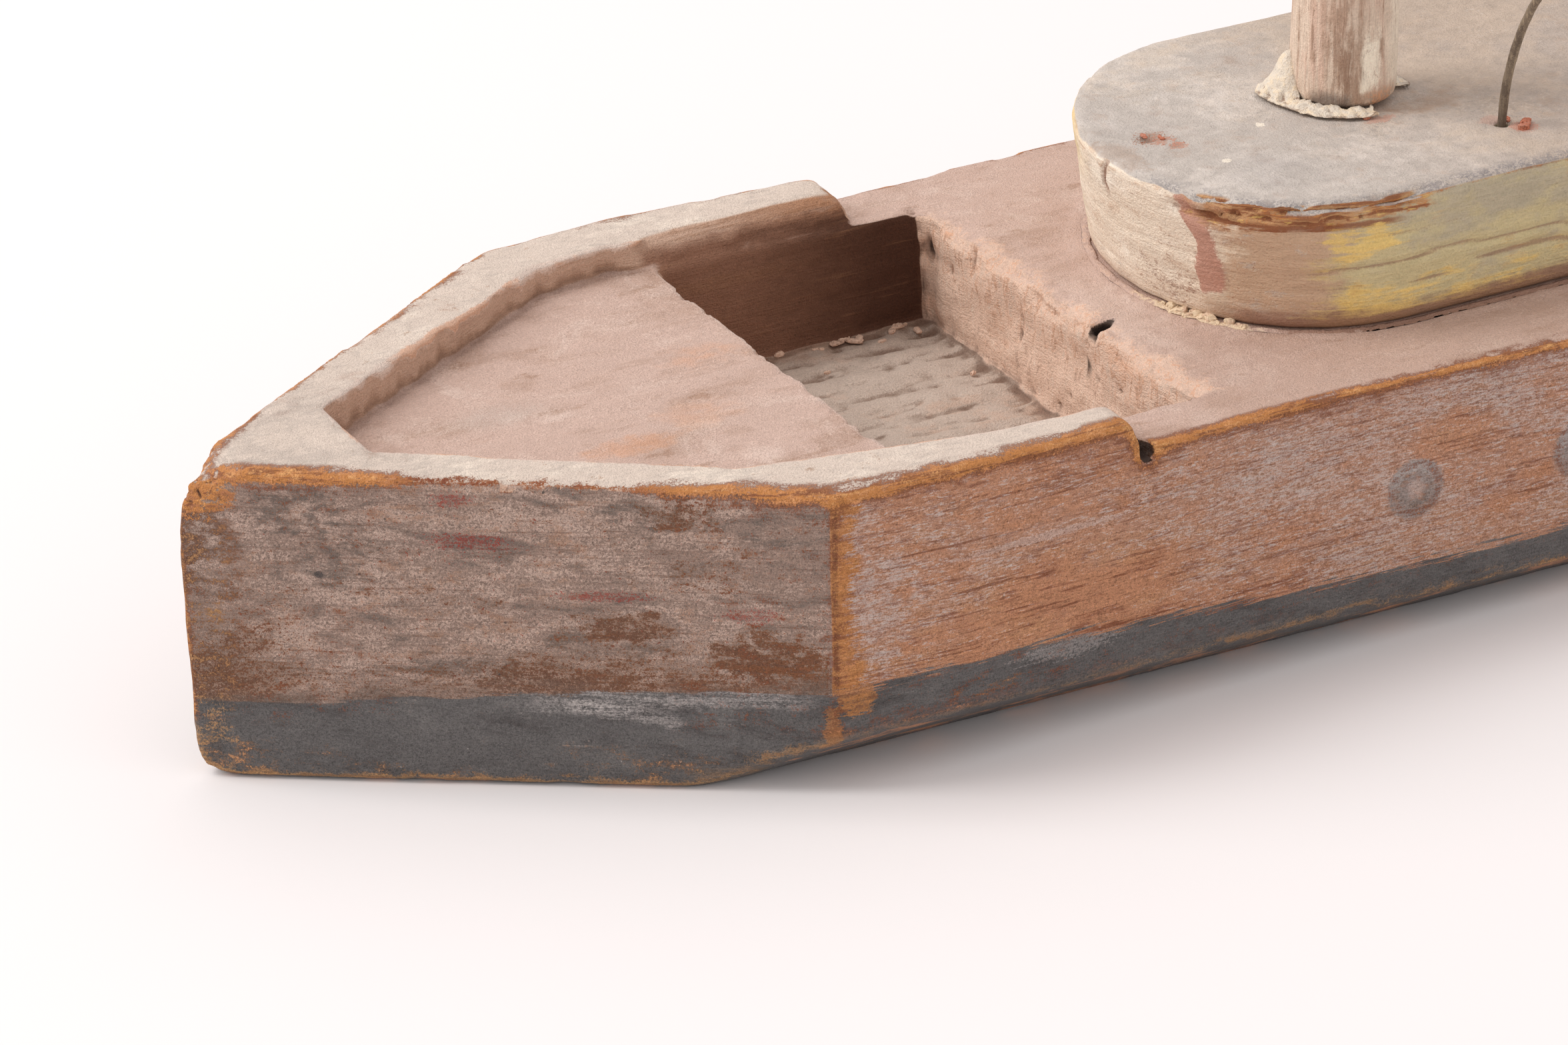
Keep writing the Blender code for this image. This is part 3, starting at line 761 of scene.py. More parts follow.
def paint_facets(look, upright):
    """The bow facets keep most of their paint: grey and pink, rubbed brown low down and near the shoulder."""
    x, z, step, blot, paint = look.x, look.z, look.step, look.blot, look.paint
    fine, mid, wide, smoke, scratch = look.fine, look.mid, look.wide, look.smoke, look.scratch
    facet = look.band(x, SHOULDER_PORT + 0.3, 10, 0.12) * upright
    stipple = look.noise(0.45, stretch=(1.3, 1.3, 0.8), detail=3, seed=14, rough=0.85)
    dust = stipple * 0.7 + fine * 0.6
    paint(facet, FACET_GREY, rough=0.75)
    look.layers(facet, [
        (FACET_PINK, 0.95, wide * 0.6 - smoke * 0.6 + dust, -0.3, 0.7),
        (FACET_TAN, 0.55, mid * 0.8 - smoke * 0.6 + dust * 0.6, 0.1, 1.0),
    ])
    stained = blot(mid * 0.6, 1.2, x=(-8.5, 6), z=(35.4, 4))
    stained = stained + blot(mid * 0.6, 1.2, x=(-12, 9), z=(29, 4)) * 0.6
    stained = stained + blot(mid * 0.8, 1.3, x=(-46, 8), z=(37, 3)) * 0.9
    stained = stained + blot(mid * 0.6, 1.3, x=(-25, 8), z=(16, 3))
    look.layers(facet, [
        (FACET_SLATE, 0.7, smoke * 1.1 + mid * 0.5 + stained - 0.1, 0.0, 1.3),
        (FACET_SLATE, 0.6, smoke * 0.8 + mid * 0.4 + dust * 1.1 + stained, 0.3, 1.0),
        (FACET_BROWN, 0.55, scratch * 0.9 + fine * 0.5, 0.4, 1.0),
        (FACET_PINK, 0.45, scratch * -1.0 + fine * 0.7, 0.6, 1.2),
    ])

    rubbed = step(z, 27, 12.5) * step(x, -10, -44) * 0.75 + step(z, 20, 12) * 0.5 - 0.95
    for at_x, long, at_z, tall, strength in RUBBED_SPOTS:
        rubbed = rubbed + blot(mid * 0.6, 0.9, x=(at_x, long), z=(at_z, tall)) * strength
    rubbed = rubbed + step(x, -14, 0) * step(z, 36, 16) * 0.75
    loss = rubbed + wide * 0.3 + mid * 0.35 + smoke * 0.2 + scratch * 0.15
    paint(facet * step(loss + dust * 0.5, -0.7, 0.3) * 0.7, FACET_TAN)
    brown = step(loss + dust * 1.1, -0.05, 0.2)
    paint(facet * brown * 0.9, FACET_BROWN, rough=0.8)
    rusty = step(scratch + smoke * 0.6 + step(x, -44, -56) * 0.8, 0.0, 1.2)
    paint(facet * brown * rusty * 0.55, FACET_RUST)
    low_rust = step(z, 20, 14.5) * step(x + mid * 3, -28, -46) * step(loss + mid * 0.3, -0.3, 0.3)
    paint(facet * low_rust * step(scratch + fine * 0.6, -0.8, 0.8) * 0.5, FACET_RUST)
    look.layers(facet, [
        (FACET_BROWN, 0.6, dust + mid * 0.3 + scratch * 0.3, 0.75, 1.1),
        (MAUVE, 0.6, dust * -1.0 + mid * 0.3, 0.8, 1.15),
    ])

    ragged_red = fine * 0.9 + stipple * 0.9 + scratch * 0.5 - 0.5
    red = blot(ragged_red, x=(-53.5, 3.2), z=(23.7, 1.2)) + blot(ragged_red, x=(-39, 5), z=(25.9, 0.8))
    red = red + blot(ragged_red, x=(-24.6, 2.2), z=(38.2, 1.0))
    red = red + blot(ragged_red - 0.2, x=(-26, 5), z=(32.9, 1.5))
    red = red + step(blot(mid, 1.5, x=(-26, 9), z=(32.5, 4)) * 0.5 + fine + stipple * 0.5, 1.2, 1.4)
    red = red + step(stipple + mid * 0.5 + wide * 0.4, 1.7, 1.9)
    paint(facet * red * 0.75, FACET_RED)
    pits = look.dots(2.3, 0.17, seed=3) * step(mid + wide * 0.5, 0.1, 0.5)
    pits = pits + blot(fine * 0.4, x=(-11, 0.5), z=(27.9, 0.45))
    paint(facet * pits * 0.8, BOOT_DARK)
    by_boot = look.band(z - look.boot_top, -0.3, 1.6, 0.9)
    paint(facet * by_boot * step(smoke + dust * 0.6, -0.6, 0.8) * 0.5, FACET_SLATE)
    look.shade(facet * dust * 0.13)


def hull_side_look():
    """The outer sides, bow facets, transom and underside."""
    look = Look("weathered_hull_side", SIDE_WOOD)
    add_patterns(look)
    x, y, z, up = look.x, look.y, look.z, look.up
    step, blot, band, paint = look.step, look.blot, look.band, look.paint
    grain, fibre, fine, mid = look.grain, look.fibre, look.fine, look.mid
    wide, smoke, convex = look.wide, look.smoke, look.convex
    fleck = look.noise(0.26, stretch=(4.5, 1, 0.8), detail=2, seed=4, rough=0.7, twist=0.6)
    look.scratch = look.noise(0.35, stretch=(28, 28, 0.9), detail=4, seed=11, rough=0.7, twist=0.3)
    scratch = look.scratch
    grit = look.noise(0.15, detail=1, seed=13)
    upright = step(abs(up), 0.75, 0.55)
    look.boot_top = step(x, 2, -62) * 3.0 + step(x, -76, -150) * -4.0 + 10.8 + scratch * 0.25 + wide * 0.4

    # Bare wood with long dark grain lines
    paint(step(wide + grain * 0.6 + fleck * 0.3, -0.2, 1.2), SIDE_ORANGE)
    paint(step(smoke + grain * 0.8 + mid * 0.4, 0.0, 1.3), SIDE_RED)
    look.layers(None, [
        (BARE_RED, 0.85, grain + fibre * 0.4 + mid * 0.2, 0.4, 1.3),
        (BARE_RED, 0.4, fleck * -1.0 + grain * 0.4, 0.5, 1.3),
    ])
    look.shade(fibre * 0.07 + grain * 0.06)

    # Thin mauve paint left on the sides, caught in the wood's flecks
    kept = step(z, 13, 31) * 0.35 + step(x, -71, -65) * 0.3 + step(x, -100, -125) * 0.45 - 0.4
    kept = kept - blot(mid * 0.5, 1.0, x=(-95, 20), z=(19, 9)) * 0.35
    kept = kept + blot(mid * 0.5, 1.0, x=(-68, 5), z=(24, 9)) * 0.55
    kept = kept - blot(mid * 0.7, 1.0, x=(-149, 9), z=(27, 4)) * 0.8
    left = wide * 0.35 + smoke * 0.2 + fleck * 0.85 + mid * 0.35 + scratch * 0.2 + kept
    paint(step(wide * 0.4 + mid * 0.4 - smoke * 0.3 + kept, -0.8, 0.7) * upright * 0.6, MAUVE_FILM)
    paint(step(left + fine * 0.4, 0.1, 0.6) * upright * 0.72, MAUVE, rough=0.72)
    paint(step(left + fleck * 0.7 + fine * 0.5, 1.0, 1.5) * upright * 0.55, SCUFF_AND_HIGHLIGHT)
    paint(step(fleck * -0.9 + grain * 0.5 + fine * -0.4, 0.5, 0.95) * upright * 0.35, SIDE_RED)
    paint(step(smoke + mid * 0.5 + fine * 0.3 - step(x, -95, -125), 0.7, 1.5) * upright * 0.35, BARE_RED)

    paint_facets(look, upright)

    # Orange shoulder behind the facet's clean paint edge, with a dark line and a pale line along it
    aft_of_facet = step(x, SHOULDER_PORT + 0.45, SHOULDER_PORT + 0.2) * step(y, 30, 34)
    shoulder = SHOULDER_PORT - x + mid * 1.5 + fleck * 1.0 - step(z, 22, 14) * 1.6
    shoulder = step(shoulder, 3.3, 1.6) * aft_of_facet * step(z, 12.0, 14.5)
    paint(shoulder * 0.85, BARE_ORANGE)
    look.layers(shoulder, [
        (SIDE_RED, 0.6, grain + mid * 0.8 + fleck * 0.4, 0.0, 1.2),
        (BARE_GOLD, 0.5, fleck - mid * 0.5, 0.3, 1.2),
    ])
    line = band(x + mid * 0.1, SHOULDER_PORT - 0.45, SHOULDER_PORT + 0.15, 0.15)
    line = line * step(y, 30, 34) * upright
    paint(line * step(z, 12, 15) * step(mid + fine * 0.5, -0.9, 0.6) * 0.8, FACET_BROWN)
    pale_line = band(x + mid * 0.1, SHOULDER_PORT + 0.3, SHOULDER_PORT + 0.65, 0.12)
    pale_line = pale_line * step(y, 30, 34) * upright
    paint(pale_line * band(z, 13, 23, 3) * step(mid + fine, -0.4, 0.8) * 0.8, SCUFF_AND_HIGHLIGHT)

    # A pale scrape and dark gouges on the port side
    scrape = blot(fine * 0.5 + fleck * 0.5, x=(-89, 14), z=(27.9, 0.6), y=(43, 5))
    paint(scrape * 0.6, MAUVE)
    gouge = blot(fibre * 0.3 + fine * 0.3, x=(-81.5, 5), z=(23.5, 0.22), y=(43, 5))
    gouge = gouge + blot(fine * 0.3, x=(-77, 7), z=(29.9, 0.18), y=(43, 5))
    paint(gouge * 0.7, BARE_RED)

    # Slate boot-top all round the bottom, with a hand-painted edge
    ragged = fine * 0.15 + scratch * step(x, -58, -66) * 0.8 + fleck * step(x, -58, -66) * 0.3
    boot = step(look.boot_top - z + ragged, -0.15, 0.15)
    paint(boot, BOOT_SLATE, rough=0.62)
    look.layers(boot, [
        (BOOT_DARK, 0.75, smoke + mid * 0.5 + fine * 0.4, -0.2, 1.2),
        (BOOT_PALE, 0.5, wide * 0.6 - smoke * 0.5 - fine * 0.5, 0.1, 1.2),
    ])
    rubbed = step(z, 9, 1.5) * 0.5 + step(convex, 0.02, 0.3) * 0.5 - 1.15
    rubbed = rubbed + step(x, -12, -2) * step(z, 12, 5) * 0.45 + wide * 0.45 + mid * 0.4 + scratch * 0.2
    rubbed = rubbed + blot(mid * 0.5, 1, x=(-82, 6), z=(10, 1.6)) * 0.9
    paint(boot * step(rubbed + fine * 0.3, -0.5, 0.1) * 0.75, BOOT_BROWN, rough=0.75)
    paint(boot * step(rubbed + fine * 0.35, 0.0, 0.25) * 0.8, SIDE_ORANGE, rough=0.78)
    chalky = band(z - look.boot_top + mid * 0.3, -2.2, 0.5, 0.7) * step(x, -27, -36) * step(x, -61.5, -56)
    chalky = chalky * step(scratch * 0.6 + fleck * 0.5 + mid * 0.5, -0.7, 0.9)
    tongue = band(z + (x + 41) * -0.18 + mid * 0.4, 9.4, 11.2, 0.5) * band(x + mid, -46, -35.5, 1.5)
    chalky = chalky + tongue * step(scratch + fleck * 0.6, -0.8, 0.6) * 0.9
    chalky = chalky + step(scratch + fine * 0.6 + wide * 0.4, 1.1, 1.7) * 0.5
    chalky = chalky + blot(scratch + fine * 0.8, 0.6, x=(-93, 7), z=(12, 1.4)) * 0.6
    paint(boot * chalky * 0.62, SCUFF_AND_HIGHLIGHT, rough=0.8)
    paint(boot * look.dots(2.6, 0.1, seed=9) * step(mid, 0, 0.4) * 0.7, SCUFF_AND_HIGHLIGHT)
    look.layers(boot, [
        (SPECK_AND_HOLE_SHADE, 0.4, fine + fleck * 0.4, 0.7, 1.2),
        (BOOT_PALE, 0.4, fine * -1.0 + fleck * 0.5, 0.6, 1.1),
    ])
    look.shade(boot * (fine + fleck * 0.5) * 0.12)
    # Bare wood down the foot of the shoulder
    shoulder_foot = blot(mid * 0.7 + fleck * 0.4, 0.5, x=(-64.5, 2.4), z=(12.5, 3.0), y=(43, 6))
    down_foot = blot(mid * 0.7 + fleck * 0.4, 0.5, x=(-61.6, 1.2), z=(7, 5.0), y=(43, 8))
    shoulder_foot = shoulder_foot + down_foot * 0.8
    paint(boot * shoulder_foot * 0.85, BARE_ORANGE, rough=0.75)
    paint(boot * shoulder_foot * step(mid + fine * 0.8 + grain * 0.5, -0.4, 0.6) * 0.75, BOOT_BROWN)

    # Painted portholes in a row along both sides
    along = look.math("PINGPONG", x - PORTHOLE_FIRST, PORTHOLE_PITCH / 2) * (1 / PORTHOLE_RADIUS)
    row = band(x, PORTHOLE_FIRST - (PORTHOLE_COUNT - 0.5) * PORTHOLE_PITCH, PORTHOLE_FIRST + 9)
    above = (z - PORTHOLE_Z) * (1 / PORTHOLE_RADIUS)
    radius = look.math("SQRT", along * along + above * above) + fine * 0.05 + mid * 0.08
    disc = step(radius, 1.08, 0.9) * upright * row
    paint(disc * step(mid + fleck * 0.4, -1.3, 0.2) * 0.8, PORTHOLE_GREY, rough=0.65)
    # Painted highlight: a pale crescent on the ring's upper half
    crescent = band(radius, 0.6, 0.95, 0.14) * step(above + mid * 0.5, -0.4, 0.7)
    paint(disc * crescent * 0.75, SCUFF_AND_HIGHLIGHT)
    # Painted shade: the inner ring darker below the centre
    inner_ring = band(radius, 0.42, 0.62, 0.12)
    paint(inner_ring * disc * step(above + mid * 0.5, 0.6, -0.7) * 0.7, FACET_SLATE)
    paint(step(radius, 0.4, 0.15) * disc * 0.6, MAUVE)
    smear = step(radius, 1.3, 0.95) * step(above, 0.2, -0.6) * upright * row
    paint(smear * step(fine + mid * 0.6, -0.4, 0.9) * 0.45, FACET_GREY)

    # Worn edges, above all along the rim and the deck, the bottom edge and the stem
    top_z = step(x, -106.5, -104.5) * 4.2 + DECK_TOP
    bare_edges(look, upright, top_z - z)
    low_edge = step(z, 8.5, 5) * step(convex + fine * 0.04 + mid * 0.05, 0.08, 0.2)
    foot = step(z + mid * 0.8 + fine * 0.3, 3.6, 2.2) * band(x, -76, -50, 5) * step(y, 20, 30)
    low_edge = look.most(low_edge, foot * step(mid + scratch * 0.5, -0.8, 0.2))
    paint(low_edge * 0.8, EDGE_TAN, rough=0.75)
    paint(low_edge * step(mid + grain + fine * 0.5, -0.1, 1.0) * 0.75, BOOT_BROWN)
    stem_worn = step(x + mid * 0.8, -4.0, -0.8) * step(z, 12, 14)
    stem_worn = stem_worn * step(mid + wide * 0.6 + fine * 0.6, -0.5, 0.4)
    paint(stem_worn * 0.85, FACET_BROWN)
    paint(stem_worn * step(mid + fine * 0.8, 0.0, 0.8) * 0.6, FACET_RUST)
    stem_line = step(x + mid, -2.2, -0.2) * step(z, 3, 6)
    paint(stem_line * step(mid * 0.8 + fine * 0.6, 0.1, 0.8) * 0.6, EDGE_TAN)

    # Stem head, painted shade in the saw kerf, and the hollows painted a darker brown
    head = blot(mid * 0.9 + fine * 0.3, 0.5, x=(0.5, 5), y=(0, 6), z=(39.5, 5.0))
    paint(head * 0.95, BARE_ORANGE, rough=0.8)
    look.layers(head, [
        (SIDE_RED, 0.7, mid + grain * 0.5 + fine * 0.5, -0.1, 0.9),
        (BARE_GOLD, 0.6, mid * -1.0 + fine * 0.5, 0.2, 1.0),
    ])
    paint(head * step(convex + fine * 0.05, 0.02, -0.14), FACET_BROWN)
    paint(step(convex, -0.14, -0.4) * 0.5, FACET_BROWN)
    # Painted shade: the saw kerf's notch painted near black
    kerf = blot(mid * 0.3, x=(-104.3, 1.0), y=(43, 4), z=(35.2, 1.6))
    paint(kerf * 0.9, SPECK_AND_HOLE_SHADE)

    # Underside: mostly slate, rubbed through along the grain
    below = step(up, -0.6, -0.8)
    paint(below, BOOT_SLATE, rough=0.75)
    look.layers(below, [
        (SIDE_WOOD, 0.8, wide + grain * 0.5 + mid * 0.4, 0.2, 0.6),
        (BOOT_BROWN, 0.5, smoke + grain * 0.3, 0.2, 1.2),
    ])
    look.shade(fine * 0.2 + grit * 0.16 + mid * 0.08 + fleck * 0.12)
    return look.finish(grain * 0.03 + fibre * 0.03 + fine * 0.05 + mid * 0.03 + grit * 0.025)


def hull_top_look():
    """Deck, foredeck, rim and everything inside the rim and the well."""
    look = Look("weathered_hull_top", DECK_PINK)
    add_patterns(look)
    x, y, z, up = look.x, look.y, look.z, look.up
    step, blot, band, paint = look.step, look.blot, look.band, look.paint
    grain, fibre, fine, mid = look.grain, look.fibre, look.fine, look.mid
    wide, cloud, convex = look.wide, look.smoke, look.convex
    brush = look.noise(2.2, stretch=(4, 4, 0.45), detail=3, seed=17)
    grit = look.noise(0.15, detail=1, seed=13)
    flat = step(up, 0.55, 0.75)
    upright = 1 - flat
    on_rim = step(z, 37.6, 38.4) * flat

    # Deck and foredeck
    look.layers(None, [
        (DECK_BROWN, 0.75, wide * 0.7 + grain * 0.4 + mid * 0.2, -0.1, 1.1),
        (DECK_PALE, 0.6, cloud * -0.8 + grain * 0.3 + fine * 0.3 + mid * 0.2, 0.0, 1.1),
        (DECK_BROWN, 0.4, grain * -1.0 + fibre * 0.4, 0.4, 1.3),
        (FACET_TAN, 0.4, grain + mid * 0.6, 1.0, 1.6),
    ])
    warm = blot(grain * 0.4 + mid * 0.5, 1.2, x=(-51.5, 7), y=(11.5, 3))
    warm = warm + blot(grain * 0.4 + mid * 0.4, 1.4, x=(-70, 7), y=(-7, 5))
    warm = warm + blot(grain * 0.4 + mid * 0.4, 1.4, x=(-62, 7), y=(8, 4)) * 0.7
    paint(warm * 0.5, DECK_ORANGE)
    paint(blot(fine * 0.5 + mid * 0.3, 1.4, x=(-41, 8), y=(-4, 4)) * 0.4, RIM_GREY)
    paint(step(x, -108, -120) * step(y, -6, 20) * 0.36, DECK_BROWN)
    paint(blot(mid * 0.5, 1.2, x=(-121.5, 6), y=(10, 18)) * 0.5, DECK_PALE)
    paint(step(x + mid * 3, -112, -118) * step(mid * 0.6 + fine * 0.7, 0.1, 0.9) * 0.3, DECK_BROWN)
    pale_dust = look.noise(0.5, stretch=(1.6, 1, 1), detail=3, seed=19, rough=0.85)
    look.layers(None, [
        (DECK_PALE, 0.3, pale_dust + fine * 0.5, 0.6, 1.1),
        (DECK_BROWN, 0.3, pale_dust * -1.0 + grain * 0.4, 0.6, 1.1),
    ])
    paint(look.dots(2.2, 0.1, seed=21) * 0.5, RIM_PALE)

    # Rim tops: pale paint, greyed along the grain
    paint(on_rim, RIM_CREAM, rough=0.78)
    look.layers(on_rim, [
        (RIM_PALE, 0.8, wide * 0.6 + brush * 0.4 + mid * 0.3, 0.0, 1.0),
        (RIM_GREY, 0.5, fibre * 0.8 + brush * 0.5 + fine * 0.7, 0.0, 1.1),
        (DECK_BROWN, 0.5, wide * -0.8 + grain * 0.4 + mid * 0.3, 0.5, 1.3),
        (FACET_TAN, 0.6, mid + fine * 0.5 + grain * 0.4, 0.9, 1.4),
    ])
    paint(on_rim * step(x + mid * 3, -34, -8) * step(grain + mid, -1.0, 0.8) * 0.6, RIM_GREY)

    # Inside walls
    paint(upright, WALL_TAN, rough=0.85)
    look.layers(upright, [
        (DECK_BROWN, 0.55, wide * 0.6 + mid * 0.5 + fine * 0.2, 0.0, 1.0),
        (FACET_TAN, 0.45, convex, -0.02, -0.2),
    ])
    in_well = step(z, DECK_TOP, 35.4) * step(x, WELL_FRONT + 1.0, WELL_FRONT + 0.4)
    in_well = in_well * step(x, WELL_AFT - 2.6, WELL_AFT - 2.0)
    along_side = step(abs(look.ahead), 0.6, 0.4)
    side_wall = upright * in_well * along_side
    side_wall = side_wall + step(abs(up), 0.85, 0.6) * step(z, 35, 36) * step(x, -75, -77.5) * along_side
    darkening = step(x + mid * 1.5, WELL_FRONT - 4, WELL_AFT + 3)
    paint(side_wall, look.mix(darkening, WELL_RED, WELL_DARK), rough=0.85)
    paint(side_wall * step(brush * 0.6 + grain * 0.5, 0.3, 1.2) * 0.35, FACET_TAN)
    paint(side_wall * band(z + mid * 0.2, 31.6, 33.2, 0.5) * step(x, -104, -84) * 0.3, FACET_TAN)
    # Worn wood on the starboard rim's leaning inner side, with painted shade on it: darker lower down, as on
    # a steeper wall
    worn_and_shaded_edge = band(y, -38.0, -33.0, 0.4) * step(x, -74.5, -77.5) * step(x, -109, -107)
    worn_and_shaded_edge = worn_and_shaded_edge * step(up, 0.97, 0.88) * step(z + mid * 0.4 + grain * 0.3, 36.8, 39.6)
    paint(worn_and_shaded_edge, look.mix(step(x + mid * 2, -82, -106), WALL_TAN, RIM_WORN), rough=0.85)
    look.layers(worn_and_shaded_edge, [
        (FACET_TAN, 0.6, grain + mid * 0.7, 0.0, 1.1),
        (WELL_RED, 0.75, z + mid * 0.5, 38.9, 37.6),
    ])
    aft_wall = upright * in_well * step(look.ahead, 0.4, 0.6)
    paint(aft_wall, WELL_PEACH, rough=0.85)
    torn = look.noise(0.9, stretch=(1, 1.2, 3), detail=4, seed=18, rough=0.7, twist=0.8)
    over_lip = step(x + mid * 1.6 + wide * 1.2 + step(y, 14, 28) * 2.0, -119.5, -117.0) * step(x, -110, -113)
    over_lip = over_lip * step(z, 26, 30) * band(y, -31.6, 34, 0.6)
    paint(over_lip * 0.7, WELL_PEACH, rough=0.85)
    look.layers(over_lip, [
        (DECK_ORANGE, 0.6, torn + fine * 0.5, 0.1, 0.9),
        (DECK_BROWN, 0.55, torn * -1.0 + fine * 0.6, 0.3, 1.0),
    ])
    look.layers(aft_wall, [
        (DECK_BROWN, 0.6, torn + mid * 0.5, 0.1, 1.3),
        (RIM_PALE, 0.5, torn * -1.0 + fine * 0.4, 0.4, 1.3),
        (DECK_ORANGE, 0.45, wide * 0.6 + mid * 0.5, 0.1, 1.2),
        (DECK_BROWN, 0.4, fine * 0.6 + cloud * 0.5 + mid * 0.4, 0.4, 1.2),
    ])
    floor = in_well * flat * step(z, 27, 25)
    paint(floor, WELL_FLOOR, rough=0.92)
    look.layers(floor, [
        (WELL_SHADE, 0.8, convex + fine * 0.03, 0.0, -0.25),
        (WALL_TAN, 0.5, wide * 0.6 + grain * 0.5 + mid * 0.4, 0.1, 1.1),
        (WELL_SHADE, 0.4, y + mid * 2, -20, -33),
    ])

    outer = step(look.attribute("depth"), 3.4, 2.2)
    bare_edges(look, outer, look.attribute("depth"))
    # Painted highlight: pale paint along the convex inner edges at deck level
    inner_edge = (1 - outer) * step(z, 34.5, 36) * step(convex + fine * 0.04 + mid * 0.03, 0.16, 0.28)
    inner_edge = inner_edge * (1 - step(y, -31.5, -32.5) * step(x, -75, -77)) * step(x, -110, -106)
    paint(inner_edge * 0.5, DECK_PALE)
    tinted = (1 - outer) * step(z, 38, 39) * step(convex + mid * 0.07, 0.2, 0.3) * step(wide, -0.1, 0.4)
    paint(tinted * 0.6, DECK_ORANGE)

    # Hollows painted a darker brown, and painted shade, near black, in the old holes, the slot and the kerf
    paint(step(convex, -0.14, -0.4) * 0.5, FACET_BROWN)
    # Painted shade: the deepest hollows, the old holes, pits and splits, near black
    paint(step(convex, -0.42, -0.7) * step(z, 22, 24) * 0.85, SPECK_AND_HOLE_SHADE)
    # Painted shade: the slot and its mouth painted near black
    slot = blot(x=(-119.5, 6), y=(10.4, 2.4)) * band(z, 28, 35.2, 0.4) * step(x, -116.8, -117.3)
    paint(slot, SPECK_AND_HOLE_SHADE)
    along = (x + 117.2) * (1 / 3.2)
    across = (y - 10.4 - (x + 117.2) * 0.21) * (1 / 1.15)
    slot_mouth = step(1 - along * along - across * across + fine * 0.15, 0.0, 0.35)
    paint(slot_mouth * step(z, 33.8, 34.6) * 0.92, SPECK_AND_HOLE_SHADE)
    # Painted shade: the saw kerf's floor painted near black
    kerf_floor = band(x, -107, -103, 0.3) * step(z, 35.6, 35.0) * step(y, 40, 40.6)
    paint(kerf_floor * 0.9, SPECK_AND_HOLE_SHADE)
    look.shade(fine * 0.1 + grit * 0.09 + mid * 0.035)
    return look.finish(grain * 0.03 + fibre * 0.02 + fine * 0.04 + mid * 0.03 + grit * 0.015)


# ------------------------------------------------------------------ deckhouse

HOUSE_TOP = 54.0
# Long cracks in the port side: their height, and where they start
PORT_CRACKS = [(44.6, -137), (42.4, -160)]
HOUSE_CREAM = rgb(242, 222, 196)
HOUSE_WHITE = rgb(252, 240, 222)
HOUSE_BROWN = rgb(196, 160, 130)
HOUSE_PALE = rgb(246, 232, 216)
HOUSE_OLIVE = rgb(210, 194, 150)
HOUSE_YELLOW = rgb(238, 203, 122)
HOUSE_OCHRE = rgb(198, 160, 106)
HOUSE_FOOT = rgb(158, 120, 100)
DRIP_RED = rgb(196, 142, 122)
SPLINTER = rgb(196, 148, 104)
SPLINTER_DARK = rgb(140, 84, 56)
ROOF_GREY = rgb(200, 190, 181)
ROOF_PALE = rgb(219, 209, 200)
ROOF_SLATE = rgb(160, 153, 150)
ROOF_DARK = rgb(136, 130, 130)
ROOF_BEIGE = rgb(212, 194, 174)
ROOF_BROWN = rgb(172, 148, 130)
FLAKE_RED = rgb(206, 128, 100)


def drip_amount(y, z):
    """The brick-red paint run down the front: its centre wanders to port on the way down."""
    centre = 15.4 + 2.2 * ramp(53.5, 46.5, z)
    half_width = 1.45 + 0.3 * np.sin((53.5 - z) * 0.75)
    return ramp(1.15, 0.85, np.abs(y - centre) / half_width) * ramp(38.8, 40, z)


def carve_deckhouse():
    """The deckhouse block with splintered roof edges, cracks, dents and a paint run."""
    shape = Carving("deckhouse", "deckhouse_carved", voxel=0.55, smoothing=2)
    depth = shape.depth(50, 99)
    shape.relax(ramp(3.0, 1.0, depth) * ramp(50.5, 53, shape.points[:, 2]) * 0.45, 8)
    x, y, z, normals = shape.settle()
    up = normals[:, 2]
    noise = shape.noise
    side = ramp(0.6, 0.3, np.abs(up)) * ramp(4, 3, depth) * ramp(37, 39, z)
    roof = ramp(0.7, 0.9, up)
    port_edge = ramp(2.2, 0.6, depth) * ramp(49.6, 51.8, z) * ramp(10, 18, y)
    splintered = port_edge * ramp(-124, -127, x) * ramp(-156, -148, x) * 1.3

    lift = noise(0.04, (3, 3, 1.2), 201, 2)
    lift += noise(side * 0.16, (24, 24, 4), 211, 2)
    lift += noise(side * 0.1, (30, 14, 1.1), 216, 2)
    lift += noise(roof * 0.1, (16, 9, 9), 221, 3) - 0.1 * roof
    lift -= ramp(0.35, 0.8, noise(roof, (2.4, 2.4, 9), 226, 2)) * 0.1
    edge_chips = ramp(1.4, 0.4, depth) * ramp(51.6, 53.2, z)
    lift -= np.clip(noise(edge_chips * 0.7, (6, 4, 2), 231, 3) - 0.2, 0, 1) * 0.7
    lift -= np.clip(noise(splintered, (9, 3, 0.9), 241, 3) + 0.5 * splintered, 0, 1.2) * 0.9
    grooved = side * ramp(-127, -130, x) * ramp(0, 8, y)
    lift -= np.clip(noise(grooved, (14, 10, 0.9), 251, 2) - 0.6, 0, 1) * 0.4
    roof_gouge = 0.7 * shape.near((-132.2, -1.2, HOUSE_TOP), (3.2, 1.3, 2))
    lift -= roof_gouge + 0.3 * shape.near((-134, 2.2, HOUSE_TOP), (1.6, 0.9, 2))
    front_crack = np.abs(y - 0.8 + 0.5 * np.sin(z * 0.9))
    lift -= 0.5 * side * ramp(0.7, 0.1, front_crack) * ramp(48, 50, z) * (x > -126)
    for height, start in PORT_CRACKS:
        line = np.abs(z - height - 0.5 * np.sin(x * 0.11) - 0.2 * np.sin(x * 0.43))
        lift -= side * ramp(0.6, 0.1, line) * ramp(start + 2, start - 4, x) * (y > 12) * 0.35
    lift += side * drip_amount(y, z) * (x > -134) * 0.22
    shape.raise_by(lift)
    return shape.finish(blur=12, faces=110000, depth=depth)


